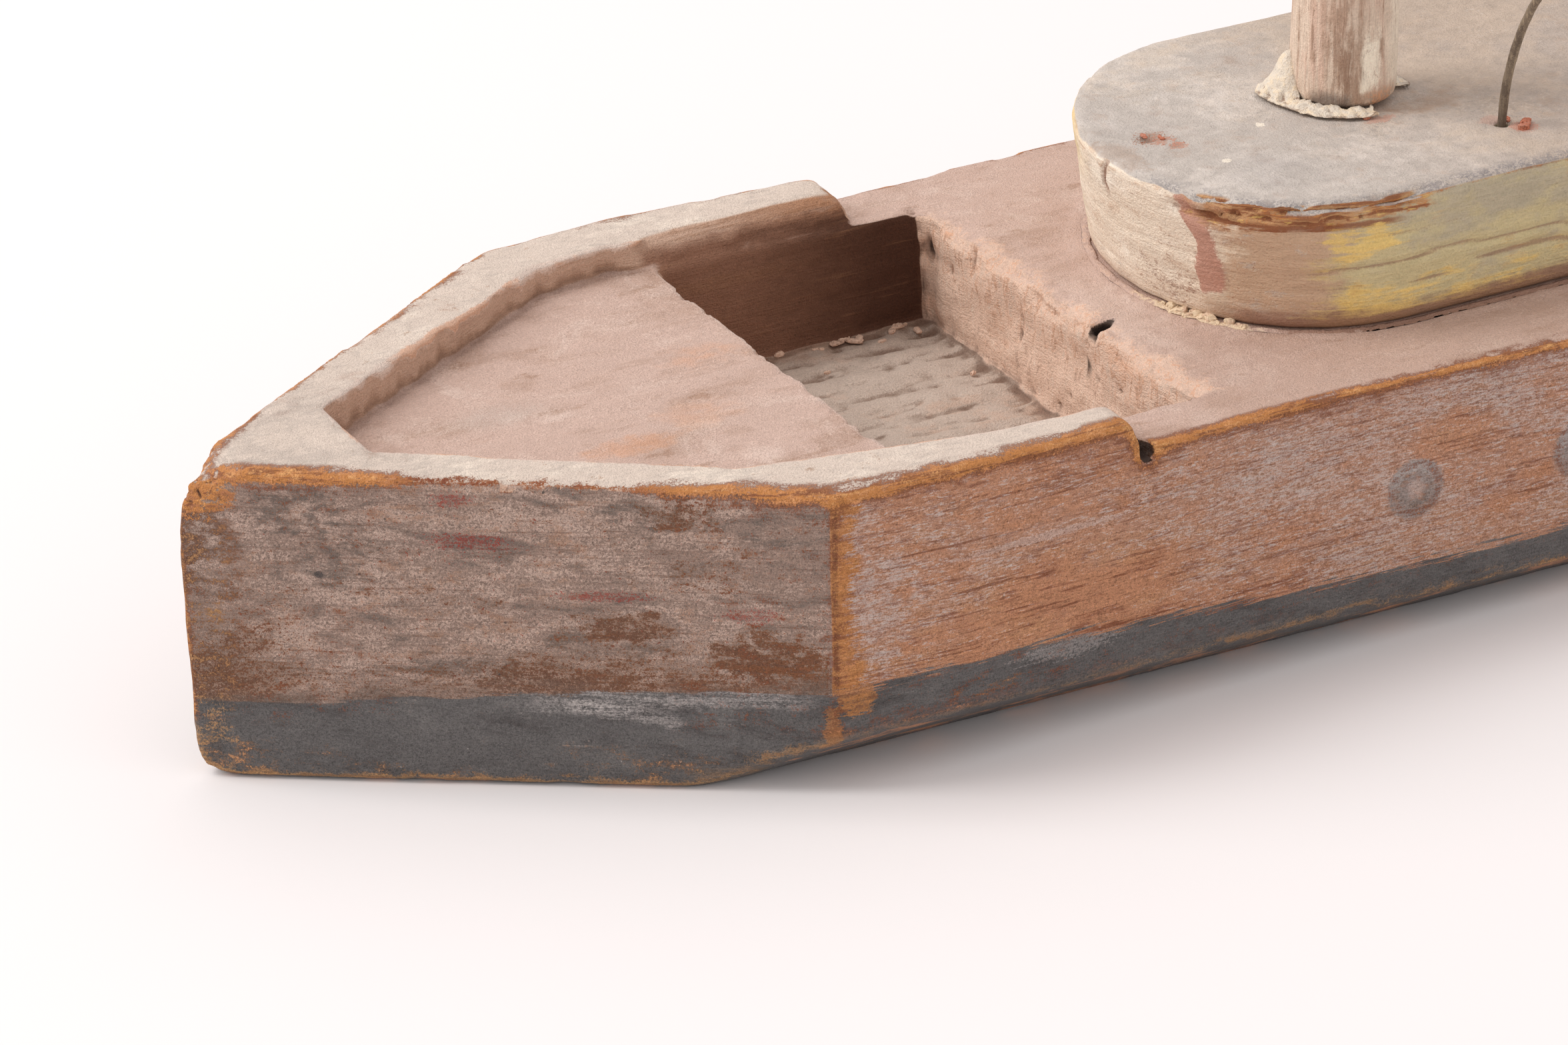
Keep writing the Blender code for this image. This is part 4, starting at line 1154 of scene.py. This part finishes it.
def deckhouse_look():
    look = Look("weathered_deckhouse", HOUSE_CREAM)
    x, y, z, up = look.x, look.y, look.z, look.up
    step, blot, band, paint = look.step, look.blot, look.band, look.paint
    convex = look.attribute("convex")
    depth = look.attribute("depth")
    line = look.noise(0.8, stretch=(22, 22, 0.8), detail=4, seed=31, rough=0.65, twist=0.4)
    fibre = look.noise(0.3, stretch=(7, 7, 1), detail=2, seed=32)
    fine = look.noise(0.32, detail=2, seed=33, rough=0.8)
    mid = look.noise(2.2, stretch=(1.7, 1.7, 0.9), detail=5, seed=34, rough=0.65)
    wide = look.noise(9, stretch=(1.6, 1.6, 0.6), detail=4, seed=35, rough=0.6)
    upright = step(up, 0.72, 0.55)

    # Cream front, browner towards the port quarter, then olive and yellow along the port side
    paint(upright * step(wide + mid * 0.5, -0.2, 1.2), HOUSE_WHITE)
    paint(upright * step(line * 0.5 + mid * 0.7 - wide * 0.4, 0.3, 1.4) * 0.5, HOUSE_BROWN)
    along = x * -1.0 + mid * 1.6 + line * 1.2
    port_side = step(y, 6, 20)
    brown = step(along, 128, 131.5) * port_side * upright
    paint(brown * 0.85, HOUSE_BROWN)
    look.layers(brown, [
        (HOUSE_FOOT, 0.5, line * 0.5 + mid * 0.6 + fine * 0.3, 0.2, 1.3),
        (HOUSE_CREAM, 0.5, mid - fine * 0.6, 0.4, 1.2),
        (ROOF_SLATE, 0.5, mid - line * 0.4, 0.3, 1.3),
    ])
    stipple = look.noise(0.5, stretch=(1.6, 1.6, 0.8), detail=3, seed=36, rough=0.85)
    front = upright * step(x, -131, -127)
    paint(front * 0.5, HOUSE_PALE)
    look.layers(front, [
        (HOUSE_BROWN, 0.35, wide * -0.7 + mid * 0.6 + stipple * 0.6, 0.4, 1.2),
        (HOUSE_WHITE, 0.7, wide * 0.8 + mid * 0.6 + line * 0.3, 0.3, 0.8),
        (HOUSE_FOOT, 0.5, stipple + line * 0.5 + mid * 0.4, 0.9, 1.3),
        (ROOF_PALE, 0.4, wide * 0.6 - mid * 0.7 + line * 0.3, 0.4, 1.3),
    ])
    low_stain = blot(mid * 0.8 + stipple * 0.4, 0.8, x=(-128, 7), y=(10.5, 5), z=(40, 3.4))
    paint(upright * low_stain * step(stipple + line * 0.5, -0.4, 0.7) * 0.6, HOUSE_FOOT)
    dark_specks = upright * step(stipple + fine * 0.6 + line * 0.3, 1.0, 1.4)
    paint(dark_specks * step(y, 2, 10) * 0.5, SPLINTER_DARK)
    olive = step(along + wide * 1.5, 137, 143) * port_side * upright
    paint(olive, HOUSE_OLIVE)
    low_down = step(z, 45, 38.5) * 0.9 + step(along, 150, 139) * 0.6 - 0.3
    yellow = step(wide * 0.5 + line * 0.35 + mid * 0.4 + low_down, 0.0, 0.9)
    paint(olive * yellow * 0.9, HOUSE_YELLOW)
    look.layers(olive, [
        (HOUSE_OCHRE, 0.8, line * 0.4 + mid * 0.7 + step(along, 150, 139) * 0.5 - 0.2, 0.3, 1.1),
        (ROOF_SLATE, 0.5, wide * -0.7 + mid * 0.4 + step(z, 44, 52) * 0.8 - low_down * 0.5, 0.1, 1.3),
    ])
    starboard = step(y, 2, -20) * upright
    paint(starboard * step(wide + line * 0.7 + step(x, -140, -165), 0.0, 1.2) * 0.7, HOUSE_OLIVE)
    look.layers(upright, [
        (HOUSE_FOOT, 0.6, convex + fine * 0.02, -0.06, -0.2),
        (HOUSE_FOOT, 0.5, line + fibre * 0.4, 1.3, 1.8),
    ])
    # A darker band at the foot, strongest along the port side: partly dirt, partly painted shade where the
    # house meets the deck
    foot = step(z + line * 0.5 + mid * 0.4, 39.4, 37.8) * upright
    paint(foot * (step(x, -128, -134) * 0.75 + 0.15), HOUSE_FOOT)

    # The brick-red run, stains near it, and a brown crack at the front
    centre = step(z, 53.5, 46.5) * 2.2 + 15.4 + mid * 0.2
    half_width = look.math("SINE", (53.5 - z) * 0.75) * 0.3 + 1.45
    run = step(abs(y - centre) / half_width + fine * 0.12 + mid * 0.1, 1.15, 0.85)
    run = run * band(z + mid * 0.4, 40.2, 53.2, 0.3) * step(x, -136, -134)
    paint(run * upright * 0.9, DRIP_RED, rough=0.6)
    paint(run * upright * step(mid + line * 0.6, 0.2, 1.2) * 0.45, HOUSE_FOOT)
    crack = step(abs(y - 0.8 + look.math("SINE", z * 0.9) * 0.5) + fine * 0.1, 0.9, 0.2) * step(z, 47.5, 50)
    paint(crack * upright * step(x, -127, -125.5) * 0.65, HOUSE_FOOT)

    # Splintered wood along the port roof edge
    torn = step(z + mid * 0.8 + line * 0.6 + step(x, -152, -134) * 1.5, 51.4, 52.2)
    torn = torn * band(x + mid * 2, -153, -127.5, 1.5) * step(y, 12, 17)
    torn = torn * step(depth + mid * 0.5, 2.6, 1.8)
    paint(torn * 0.95, SPLINTER)
    look.layers(torn, [
        (SPLINTER_DARK, 0.85, line + fibre * 0.6 + mid * 0.4 + convex * -4.0, -0.35, 0.45),
        (BARE_ORANGE, 0.7, line * -0.8 + mid * 0.5 + fine * 0.5, 0.3, 1.0),
        (HOUSE_YELLOW, 0.5, fibre - line * 0.3, 0.6, 1.2),
    ])
    under = band(z + line * 0.35 + mid * 0.25, 50.3, 51.1, 0.3) * band(x, -149, -130, 2) * step(y, 12, 17)
    paint(under * upright * 0.85, SPLINTER_DARK)
    bright = blot(mid * 0.7 + line * 0.5, 0.8, x=(-144.5, 6), z=(48.6, 2.6)) * step(y, 12, 17)
    paint(bright * upright * 0.8, HOUSE_YELLOW)
    bow_tint = step(y + mid * 2, -4, -16) * step(x, -150, -140) * step(z + mid * 2, 46, 51) * upright
    paint(bow_tint * 0.6, HOUSE_YELLOW)
    worn = step(convex + fine * 0.03 + mid * 0.05, 0.12, 0.25) * step(z, 51, 52.5)
    worn = worn * step(y, 4, 14) * step(x, -126, -130)
    paint(worn * 0.8, SPLINTER_DARK)
    paint(worn * step(fibre + mid * 0.5, 0, 1) * 0.7, BARE_ORANGE)
    front_worn = step(convex + fine * 0.03 + mid * 0.06, 0.1, 0.24) * step(z, 50.5, 52.5)
    front_worn = front_worn * step(x, -131, -127)
    paint(front_worn * step(mid + line * 0.5, -0.5, 0.6) * 0.6, HOUSE_BROWN)

    # Roof: blue-grey with beige bloom, a darker band inside the port edge, dirt round the funnel
    roof = step(up, 0.5, 0.75) * step(z, 52, 53)
    paint(roof, ROOF_GREY, rough=0.8)
    look.layers(roof, [
        (ROOF_BEIGE, 0.5, line + mid * 0.4, 0.2, 1.3),
        (ROOF_PALE, 0.8, wide + mid * 0.5 + fibre * 0.2, -0.4, 1.0),
        (ROOF_BROWN, 0.45, mid - wide * 0.5 + fine * 0.3, 0.2, 1.3),
        (ROOF_BEIGE, 0.7, wide * 0.6 + mid * 0.3 + step(x, -145, -180) + step(y, 0, -24) * 0.6, 0.5, 1.6),
        (ROOF_BROWN, 0.45, x, -140, -185),
    ])
    paint(roof * blot(mid * 0.6, 1.4, x=(-140, 9), y=(16, 8)) * 0.4, ROOF_SLATE)
    paint(roof * blot(mid * 0.6, 1.4, x=(-131, 9), y=(-4, 14)) * 0.22, ROOF_SLATE)
    inside_edge = step(depth + mid * 0.8, 3.6, 1.0) * step(y, 2, 14)
    paint(roof * inside_edge * step(mid + fine * 0.7 + stipple * 0.5, -0.6, 0.7) * 0.8, ROOF_DARK)
    look.layers(roof, [
        (ROOF_DARK, 0.35, stipple + line * 0.4 + fine * 0.4, 0.7, 1.2),
        (ROOF_PALE, 0.35, stipple * -1.0 + line * 0.4, 0.6, 1.2),
    ])
    dirt = blot(mid * 0.8, 1.2, x=(-169, 6), y=(6, 5)) + blot(mid * 0.8, 1.3, x=(-161, 11), y=(-1, 11)) * 0.5
    paint(roof * dirt * 0.6, ROOF_BROWN)
    paint(roof * blot(mid * 0.9 + fine * 0.4, 0.9, x=(-126, 3), y=(2, 6)) * 0.5, ROOF_BROWN)
    gouge = blot(fine * 0.9 + mid * 0.9, x=(-132.2, 2.4), y=(-1.2, 2.2))
    gouge = gouge + blot(fine * 0.8 + mid * 0.5, x=(-134, 1.2), y=(2.4, 0.9))
    paint(roof * gouge * 0.7, ROOF_BROWN)
    look.layers(roof * gouge, [
        (DRIP_RED, 0.8, mid + fine, 0.0, 0.8),
        (SPLINTER_DARK, 0.7, fine - mid, 0.3, 1.0),
    ])
    specks = blot(fine * 0.3, x=(-136.4, 0.7), y=(9.9, 0.6)) + blot(fine * 0.3, x=(-146.5, 0.6), y=(1.9, 0.7))
    paint(roof * specks * 0.8, HOUSE_WHITE)
    red = blot(fine * 0.6 + mid * 0.6, 0.5, x=(-174.6, 1.8), y=(20, 1.6))
    red = red + blot(mid * 0.8, 0.6, x=(-172, 2.2), y=(16, 1.6)) * 0.5
    red = red + blot(mid * 0.6 + fine * 0.4, 0.6, x=(-160.8, 2.6), y=(8.3, 1.1)) * 0.8
    paint(roof * red * 0.75, DRIP_RED)
    look.shade(fine * 0.08 + fibre * 0.05 + mid * 0.045)
    return look.finish(line * 0.02 + fibre * 0.02 + fine * 0.04 + mid * 0.04)


# ------------------------------------------------------------------ funnel, glue, filler and wire

FUNNEL_X = -161.0
FUNNEL_Y = -1.0
# The level direction, x and y, that runs across the funnel from left to right as the camera sees it
ACROSS_FUNNEL = (-0.884, 0.467)
FILLER_FOOT = 36.25
FUNNEL_CREAM = rgb(222, 200, 180)
FUNNEL_PINK = rgb(216, 180, 160)
FUNNEL_BROWN = rgb(172, 142, 121)
FUNNEL_DARK = rgb(150, 120, 100)
FUNNEL_WHITE = rgb(254, 242, 222)
FUNNEL_ORANGE = rgb(212, 158, 120)
GLUE_CREAM = rgb(232, 220, 203)
GLUE_YELLOW = rgb(238, 216, 184)
GLUE_GREY = rgb(188, 172, 155)
FILLER_PEACH = rgb(222, 188, 164)
FILLER_CREAM = rgb(236, 212, 180)
FILLER_BROWN = rgb(164, 128, 100)
WIRE_BROWN = rgb(133, 116, 96)
WIRE_PALE = rgb(166, 146, 120)
WIRE_DARK = rgb(82, 66, 54)
RUST = rgb(150, 86, 56)


def carve_funnel():
    """The dowel, with grain down its sides, turning rings on its top and a chipped foot."""
    shape = Carving("funnel", "funnel_carved", voxel=0.4, smoothing=2)
    shape.relax(ramp(101.5, 103.5, shape.points[:, 2]) * 0.6, 10)
    x, y, z, normals = shape.settle()
    noise = shape.noise
    side = ramp(0.6, 0.3, np.abs(normals[:, 2]))
    crown = ramp(0.6, 0.9, normals[:, 2])
    lift = noise(side * 0.13, (5, 5, 26), 301, 2) - 0.06
    lift += noise(side * 0.1, (1.3, 1.3, 14), 306, 2)
    lift += noise(0.05, 2.0, 311, 2)
    radius = np.hypot(x - FUNNEL_X, y - FUNNEL_Y)
    rings = np.sin(radius * 5.2 + noise(crown, (5, 5, 5), 316, 1))
    lift += crown * (0.06 * rings - 0.12)
    chips = (0.5 * ramp(55.8, 54.4, z) + ramp(102.4, 103.8, z)) * side
    lift -= np.clip(noise(chips * 1.1, (2.2, 2.2, 2.2), 321, 3) - 0.1, 0, 1) * 0.8
    shape.raise_by(lift)
    return shape.finish(blur=10, faces=60000)


def funnel_look():
    look = Look("weathered_funnel", FUNNEL_CREAM)
    z, step, band, paint = look.z, look.step, look.band, look.paint
    across = (look.x - FUNNEL_X) * ACROSS_FUNNEL[0] + (look.y - FUNNEL_Y) * ACROSS_FUNNEL[1]
    convex = look.attribute("convex")
    grain = look.noise(0.6, stretch=(1, 1, 22), detail=3, seed=41)
    fibre = look.noise(0.25, stretch=(1, 1, 9), detail=2, seed=42)
    fine = look.noise(0.32, detail=2, seed=43, rough=0.8)
    mid = look.noise(2.4, stretch=(1, 1, 2.2), detail=5, seed=44, rough=0.65)
    wide = look.noise(7, stretch=(1, 1, 2.0), detail=3, seed=45)

    look.layers(None, [
        (FUNNEL_PINK, 0.7, wide + grain * 0.6, -0.2, 1.2),
        (FUNNEL_BROWN, 0.7, mid + grain * 0.6 - wide * 0.3, 0.1, 1.3),
    ])
    strip = band(across + mid * 0.5, -3.2, 2.2, 1.2)
    paint(strip * step(mid + grain * 0.6 + 0.5, -0.3, 0.9) * 0.75, FUNNEL_BROWN)
    streak = band(across + mid * 0.35 + grain * 0.2, -1.2, 0.5, 0.4) * step(z, 68, 62)
    paint(streak * step(mid + fibre, -0.5, 0.7) * 0.75, FUNNEL_DARK)
    pale = band(across + mid * 0.6, 1.9, 4.2, 0.5) * step(z + mid * 1.5, 57, 58.5)
    pale = pale * step(z + mid * 2, 66, 63.5)
    paint(pale * step(mid + fine * 0.4, -0.7, 0.3) * 0.9, FUNNEL_WHITE)
    look.layers(None, [
        (FUNNEL_WHITE, 0.6, across + mid * 0.5, 4.6, 6.4),
        (FUNNEL_DARK, 0.6, grain + fibre * 0.5 + mid * 0.3, 0.9, 1.5),
    ])
    low = step(z + mid * 0.8, 58, 55.6)
    paint(low * step(mid + wide * 0.5, -0.8, 0.4) * 0.7, FUNNEL_BROWN)
    slate = band(across + mid * 0.6, -4.6, 0.2, 0.8) * step(z + mid * 0.7, 57.2, 55.6)
    paint(slate * 0.75, FACET_SLATE)
    orange = band(across + mid * 0.5, 2.6, 6.2, 0.7) * step(z + mid * 0.7, 57.6, 56.2)
    paint(orange * step(mid + fine, -0.5, 0.8) * 0.75, FUNNEL_ORANGE)
    paint(step(look.up, 0.6, 0.8) * step(z, 102, 103), FUNNEL_BROWN)
    paint(step(convex + fine * 0.03 + mid * 0.04, 0.1, 0.2) * step(z, 98, 102) * 0.8, FUNNEL_DARK)
    paint(step(convex, -0.03, -0.15) * 0.6, FUNNEL_DARK)
    look.shade(fine * 0.09 + fibre * 0.08 + mid * 0.04)
    return look.finish(grain * 0.04 + fibre * 0.03 + fine * 0.03 + mid * 0.03)


def carve_glue():
    """The brittle old glue round the funnel's foot, broken into lumps, and pushed in against the funnel."""
    shape = Carving("funnel_glue", "funnel_glue_lumps", voxel=0.22, smoothing=4)
    shape.settle()
    noise = shape.noise
    low = ramp(56.4, 55.0, shape.points[:, 2])
    lift = low * (noise(0.34, (1.3, 1.3, 1.1), 401, 3) - 0.12)
    lift += (1 - low) * 0.16 * noise(1, (2.0, 2.0, 2.6), 411, 3)
    lift -= ramp(0.25, 0.75, noise(1, (0.9, 0.9, 0.9), 421, 2)) * 0.22 * low
    shape.raise_by(lift)
    arm = shape.points[:, :2] - (FUNNEL_X, FUNNEL_Y)
    radius = np.hypot(arm[:, 0], arm[:, 1])[:, None]
    shape.points[:, :2] -= arm / radius * 0.9 * ramp(8.2, 7.0, radius)
    return shape.finish(blur=8, faces=40000)


def glue_look():
    look = Look("old_glue", GLUE_CREAM, roughness=0.55, specular=0.35)
    step, paint = look.step, look.paint
    convex = look.attribute("convex")
    fine = look.noise(0.3, detail=2, seed=51, rough=0.8)
    mid = look.noise(1.3, detail=4, seed=52, rough=0.65)
    look.layers(None, [
        (GLUE_YELLOW, 0.7, mid + fine * 0.3, -0.3, 0.9),
        (GLUE_GREY, 0.6, mid * -1.0 + fine * 0.4, 0.2, 1.1),
    ])
    paint(step(convex + fine * 0.02, -0.02, -0.12) * 0.8, FUNNEL_DARK, rough=0.8)
    paint(step(look.z + mid * 0.15, 54.6, 54.1) * 0.5, ROOF_BROWN, rough=0.8)
    look.shade(fine * 0.06 + mid * 0.04)
    return look.finish(fine * 0.04 + mid * 0.06)


def carve_filler():
    """The filler under the deckhouse: a thin uneven fillet, with crumbs of it at the port bow quarter."""
    shape = Carving("deckhouse_filler", "deckhouse_filler_crumbs", voxel=0.25, smoothing=3)
    depth, outward = outline_depth(shape.points, "deckhouse", *HOUSE_FOOT_SLICE)
    outside = np.clip(-depth, 0, None)[:, None]
    inward = 1.1 * ramp(1.2, 0.4, outside)
    x, _, z = shape.points.T
    crumbly = shape.near((-129.5, 15, 36.5), (9, 10, 9))
    size = 0.45 + 0.3 * ramp(-136, -128, x) + shape.noise(0.2, (5, 5, 9), 501, 3)
    size += crumbly * (0.4 + shape.noise(0.5, (1.4, 1.4, 1.4), 511, 2))
    size = np.clip(size, 0.2, 1.0)
    above_deck = ramp(36.2, 36.8, z)[:, None]
    shape.points[:, :2] -= outward * (outside * (1 - size[:, None]) + inward) * above_deck
    above = z - FILLER_FOOT
    fillet = 0.25 + 0.75 * ramp(1.1, 0.0, outside[:, 0])
    above = np.where(above > 0, above * np.clip(size + 0.3, 0, 1.15) * fillet, above)
    shape.points[:, 2] = FILLER_FOOT + above
    shape.settle()
    shape.raise_by((0.04 + 0.2 * crumbly) * shape.noise(1, 0.8, 521, 2))
    return shape.finish(blur=6, faces=90000)


def filler_look():
    look = Look("old_filler", DECK_PINK, roughness=0.8)
    x, y, step, paint = look.x, look.y, look.step, look.paint
    convex = look.attribute("convex")
    fine = look.noise(0.3, detail=2, seed=61, rough=0.8)
    mid = look.noise(1.6, detail=4, seed=62, rough=0.65)
    look.layers(None, [
        (FILLER_PEACH, 0.6, mid + fine * 0.3, -0.2, 1.0),
        (DECK_BROWN, 0.6, mid * -1.0 + fine * 0.4, 0.1, 1.0),
    ])
    # Dark brown along the port side, aft: partly dirt, partly painted shade at the deckhouse's foot
    paint(step(x + mid * 2, -133, -138) * step(y, 4, 14) * 0.8, HOUSE_FOOT)
    crumbly = look.blot(mid * 0.5, 0.6, x=(-129.5, 9), y=(15, 10))
    paint(crumbly * 0.85, FILLER_CREAM)
    # The hollows: dark brown along the port side, painted shade in the crease against the deckhouse, and
    # peach forward of it
    hollow = step(convex + fine * 0.02, -0.01, -0.1)
    port_side = step(x, -130, -134)
    paint(hollow * port_side * 0.75, FILLER_BROWN)
    paint(hollow * (1 - port_side) * 0.7, FILLER_PEACH)
    look.shade(fine * 0.07 + mid * 0.04)
    return look.finish(fine * 0.05 + mid * 0.04)


def carve_wire():
    """The bent wire, bowed a little to port, with a pitted surface."""
    shape = Carving("davit_wire", "davit_wire_worn", voxel=0.16, smoothing=3)
    up_wire = np.clip((shape.points[:, 2] - HOUSE_TOP) / 32, 0, 1)
    shape.points[:, 1] += 0.75 * np.sin(np.pi * up_wire)
    shape.settle()
    shape.raise_by(shape.noise(0.035, (0.7, 0.7, 2.2), 601, 2) + shape.noise(0.03, 4, 611, 1))
    return shape.finish(blur=4, faces=40000)


def steel_look(name, brown, pale, rusty):
    """Old steel wire or nail with brown patina and rust."""
    look = Look(name, brown, roughness=0.5, specular=0.5)
    step, paint = look.step, look.paint
    streak = look.noise(0.35, stretch=(1, 1, 8), detail=3, seed=71)
    fine = look.noise(0.16, detail=2, seed=72, rough=0.75)
    mid = look.noise(1.6, stretch=(1, 1, 2), detail=4, seed=73, rough=0.65)
    paint(step(streak + mid * 0.6, -0.2, 1.0) * 0.8, pale)
    paint(step(mid * -1.0 + fine * 0.5, 0.1, 0.9) * 0.75, WIRE_DARK, rough=0.7)
    paint(step(mid + fine * 0.6 + rusty, 0.8, 1.4) * 0.8, RUST, rough=0.85)
    paint(step(look.z + mid * 0.6, 58, 54.6) * step(look.z, 52, 53.6) * 0.6, WIRE_DARK, rough=0.8)
    look.shade(fine * 0.09 + streak * 0.06)
    return look.finish(fine * 0.03 + streak * 0.02 + mid * 0.02)


# ------------------------------------------------------------------ crumbs, shavings and flakes

# Where each lies (x, y), its length, width and thickness, and how far it is turned
SHAVINGS = [
    (-103.4, -31.6, 3.6, 1.2, 0.5, 20), (-105.2, -30.6, 2.4, 1.0, 0.6, -35),
    (-106.4, -31.8, 3.0, 0.9, 0.5, 70), (-112.6, -31.9, 2.8, 1.1, 0.7, 10),
    (-111.0, -31.0, 1.8, 0.9, 0.5, 50), (-94.5, -32.0, 1.5, 1.1, 0.7, 0),
    (-114.0, -29.4, 1.8, 0.8, 0.5, 80), (-108.3, -28.9, 1.4, 0.7, 0.4, 15),
    (-99.8, -30.9, 1.6, 0.7, 0.4, -20), (-113.6, -14.2, 1.2, 0.7, 0.4, 35),
    (-110.1, 3.4, 1.1, 0.6, 0.4, 60), (-97.4, -24.0, 1.0, 0.6, 0.4, 5),
]
FLAKES = [
    (-175.2, 19.4, 2.2, 1.3, 0.8, 40), (-174.0, 20.6, 1.5, 0.9, 0.9, -20),
    (-173.9, 17.2, 1.2, 0.8, 0.6, 70), (-159.2, 7.4, 1.5, 0.8, 0.5, 25),
    (-131.6, -2.0, 1.7, 0.6, 0.35, 75), (-133.2, -0.4, 1.3, 0.5, 0.35, 95),
]
# Filler crumbs: how far to port along the deckhouse's foot, how far off it, and their size
FILLER_CRUMBS = [
    (9.4, 0.9, 0.9), (10.8, 0.7, 1.3), (11.9, 1.3, 0.8), (12.8, 0.8, 1.5), (13.9, 1.5, 0.9),
    (14.6, 0.6, 1.6), (15.8, 1.2, 1.2), (16.9, 0.7, 1.5), (17.8, 1.4, 1.0), (18.8, 0.7, 1.3),
    (19.9, 1.2, 0.9), (20.8, 0.8, 1.0),
]
WELL_FLOOR_Z = 20.2


def make_crumbs(name, crumbs, ground):
    """Small rough lumps lying on a level surface."""
    shape = bmesh.new()
    for place_x, place_y, length, width, thick, turn in crumbs:
        made = bmesh.ops.create_icosphere(shape, subdivisions=4, radius=0.5)["verts"]
        lump = np.array([vertex.co for vertex in made])
        lump = np.sign(lump) * np.abs(lump * 2) ** 0.7 / 2
        lump = lump * (length, width, thick)
        lump += 0.16 * width * layered_noise(lump + (place_x, place_y, 0), 0.45 * width, 701, 3)[:, None]
        lump[:, 2] += 0.10 * (lump[:, 0] ** 2) / length
        c, s = math.cos(math.radians(turn)), math.sin(math.radians(turn))
        spot_x = place_x + lump[:, 0] * c - lump[:, 1] * s
        spot_y = place_y + lump[:, 0] * s + lump[:, 1] * c
        spot_z = ground + thick * 0.4 + lump[:, 2]
        for vertex, x, y, z in zip(made, spot_x, spot_y, spot_z):
            vertex.co = ((x + FORE_X / MM) * MM, y * MM, z * MM)
    mesh = bpy.data.meshes.new(name)
    shape.to_mesh(mesh)
    shape.free()
    mesh.shade_smooth()
    store_convexity(mesh, 4)
    return add_piece(name, mesh)


def make_filler_crumbs():
    """Crumbs of filler squeezed out along the deckhouse's foot, at the port bow quarter."""
    foot = outline_points("deckhouse", *HOUSE_FOOT_SLICE)
    foot = foot[foot[:, 0] > -160]
    foot = foot[np.argsort(foot[:, 1])]
    crumbs = []
    for number, (to_port, off, size) in enumerate(FILLER_CRUMBS):
        foot_x = np.interp(to_port, foot[:, 1], foot[:, 0])
        crumbs.append((foot_x + off, to_port + 0.3 * off, size * 1.2, size, size * 0.75, 37 * number))
    return make_crumbs("filler_crumbs", crumbs, DECK_TOP)


def crumb_look(name, pale, middle, dark):
    """The broken surface of old wood, paint or filler."""
    look = Look(name, pale, roughness=0.85)
    fine = look.noise(0.25, detail=2, seed=81, rough=0.8)
    fibre = look.noise(0.3, stretch=(5, 1, 1), detail=3, seed=82)
    mid = look.noise(1.5, detail=4, seed=83)
    look.layers(None, [
        (middle, 0.7, mid + fibre * 0.5, -0.3, 0.9),
        (dark, 0.6, look.attribute("convex") + fine * 0.02, 0.0, -0.06),
    ])
    look.shade(fine * 0.08 + fibre * 0.06)
    return look.finish(fine * 0.03 + fibre * 0.04)


# ------------------------------------------------------------------ build

make_camera()
make_lights()
make_floor()
place(carve_hull(), "hull")
shaving_look = crumb_look("wood_shavings", WELL_PEACH, WALL_TAN, WELL_RED)
place(make_crumbs("well_shavings", SHAVINGS, WELL_FLOOR_Z), None, shaving_look)
place(carve_deckhouse(), "deckhouse", deckhouse_look())
place(carve_funnel(), "funnel", funnel_look())
place(carve_glue(), "funnel_glue", glue_look())
place(carve_filler(), "deckhouse_filler", filler_look())
broken_filler_look = crumb_look("broken_filler", FILLER_CREAM, FILLER_PEACH, FILLER_BROWN)
place(make_filler_crumbs(), None, broken_filler_look)
flake_look = crumb_look("paint_flakes", FLAKE_RED, DRIP_RED, SPLINTER_DARK)
place(make_crumbs("roof_flakes", FLAKES, HOUSE_TOP - 0.1), None, flake_look)
wire_look = steel_look("patinated_wire", WIRE_BROWN, WIRE_PALE, rusty=-0.3)
place(carve_wire(), "davit_wire", wire_look)
nail_look = steel_look("rusty_nails", WIRE_DARK, WIRE_BROWN, rusty=0.5)
for name in ("deckhouse_nail_fore", "deckhouse_nail_aft", "funnel_nail"):
    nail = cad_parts[name]
    nail.data.materials.clear()
    nail.data.materials.append(nail_look)
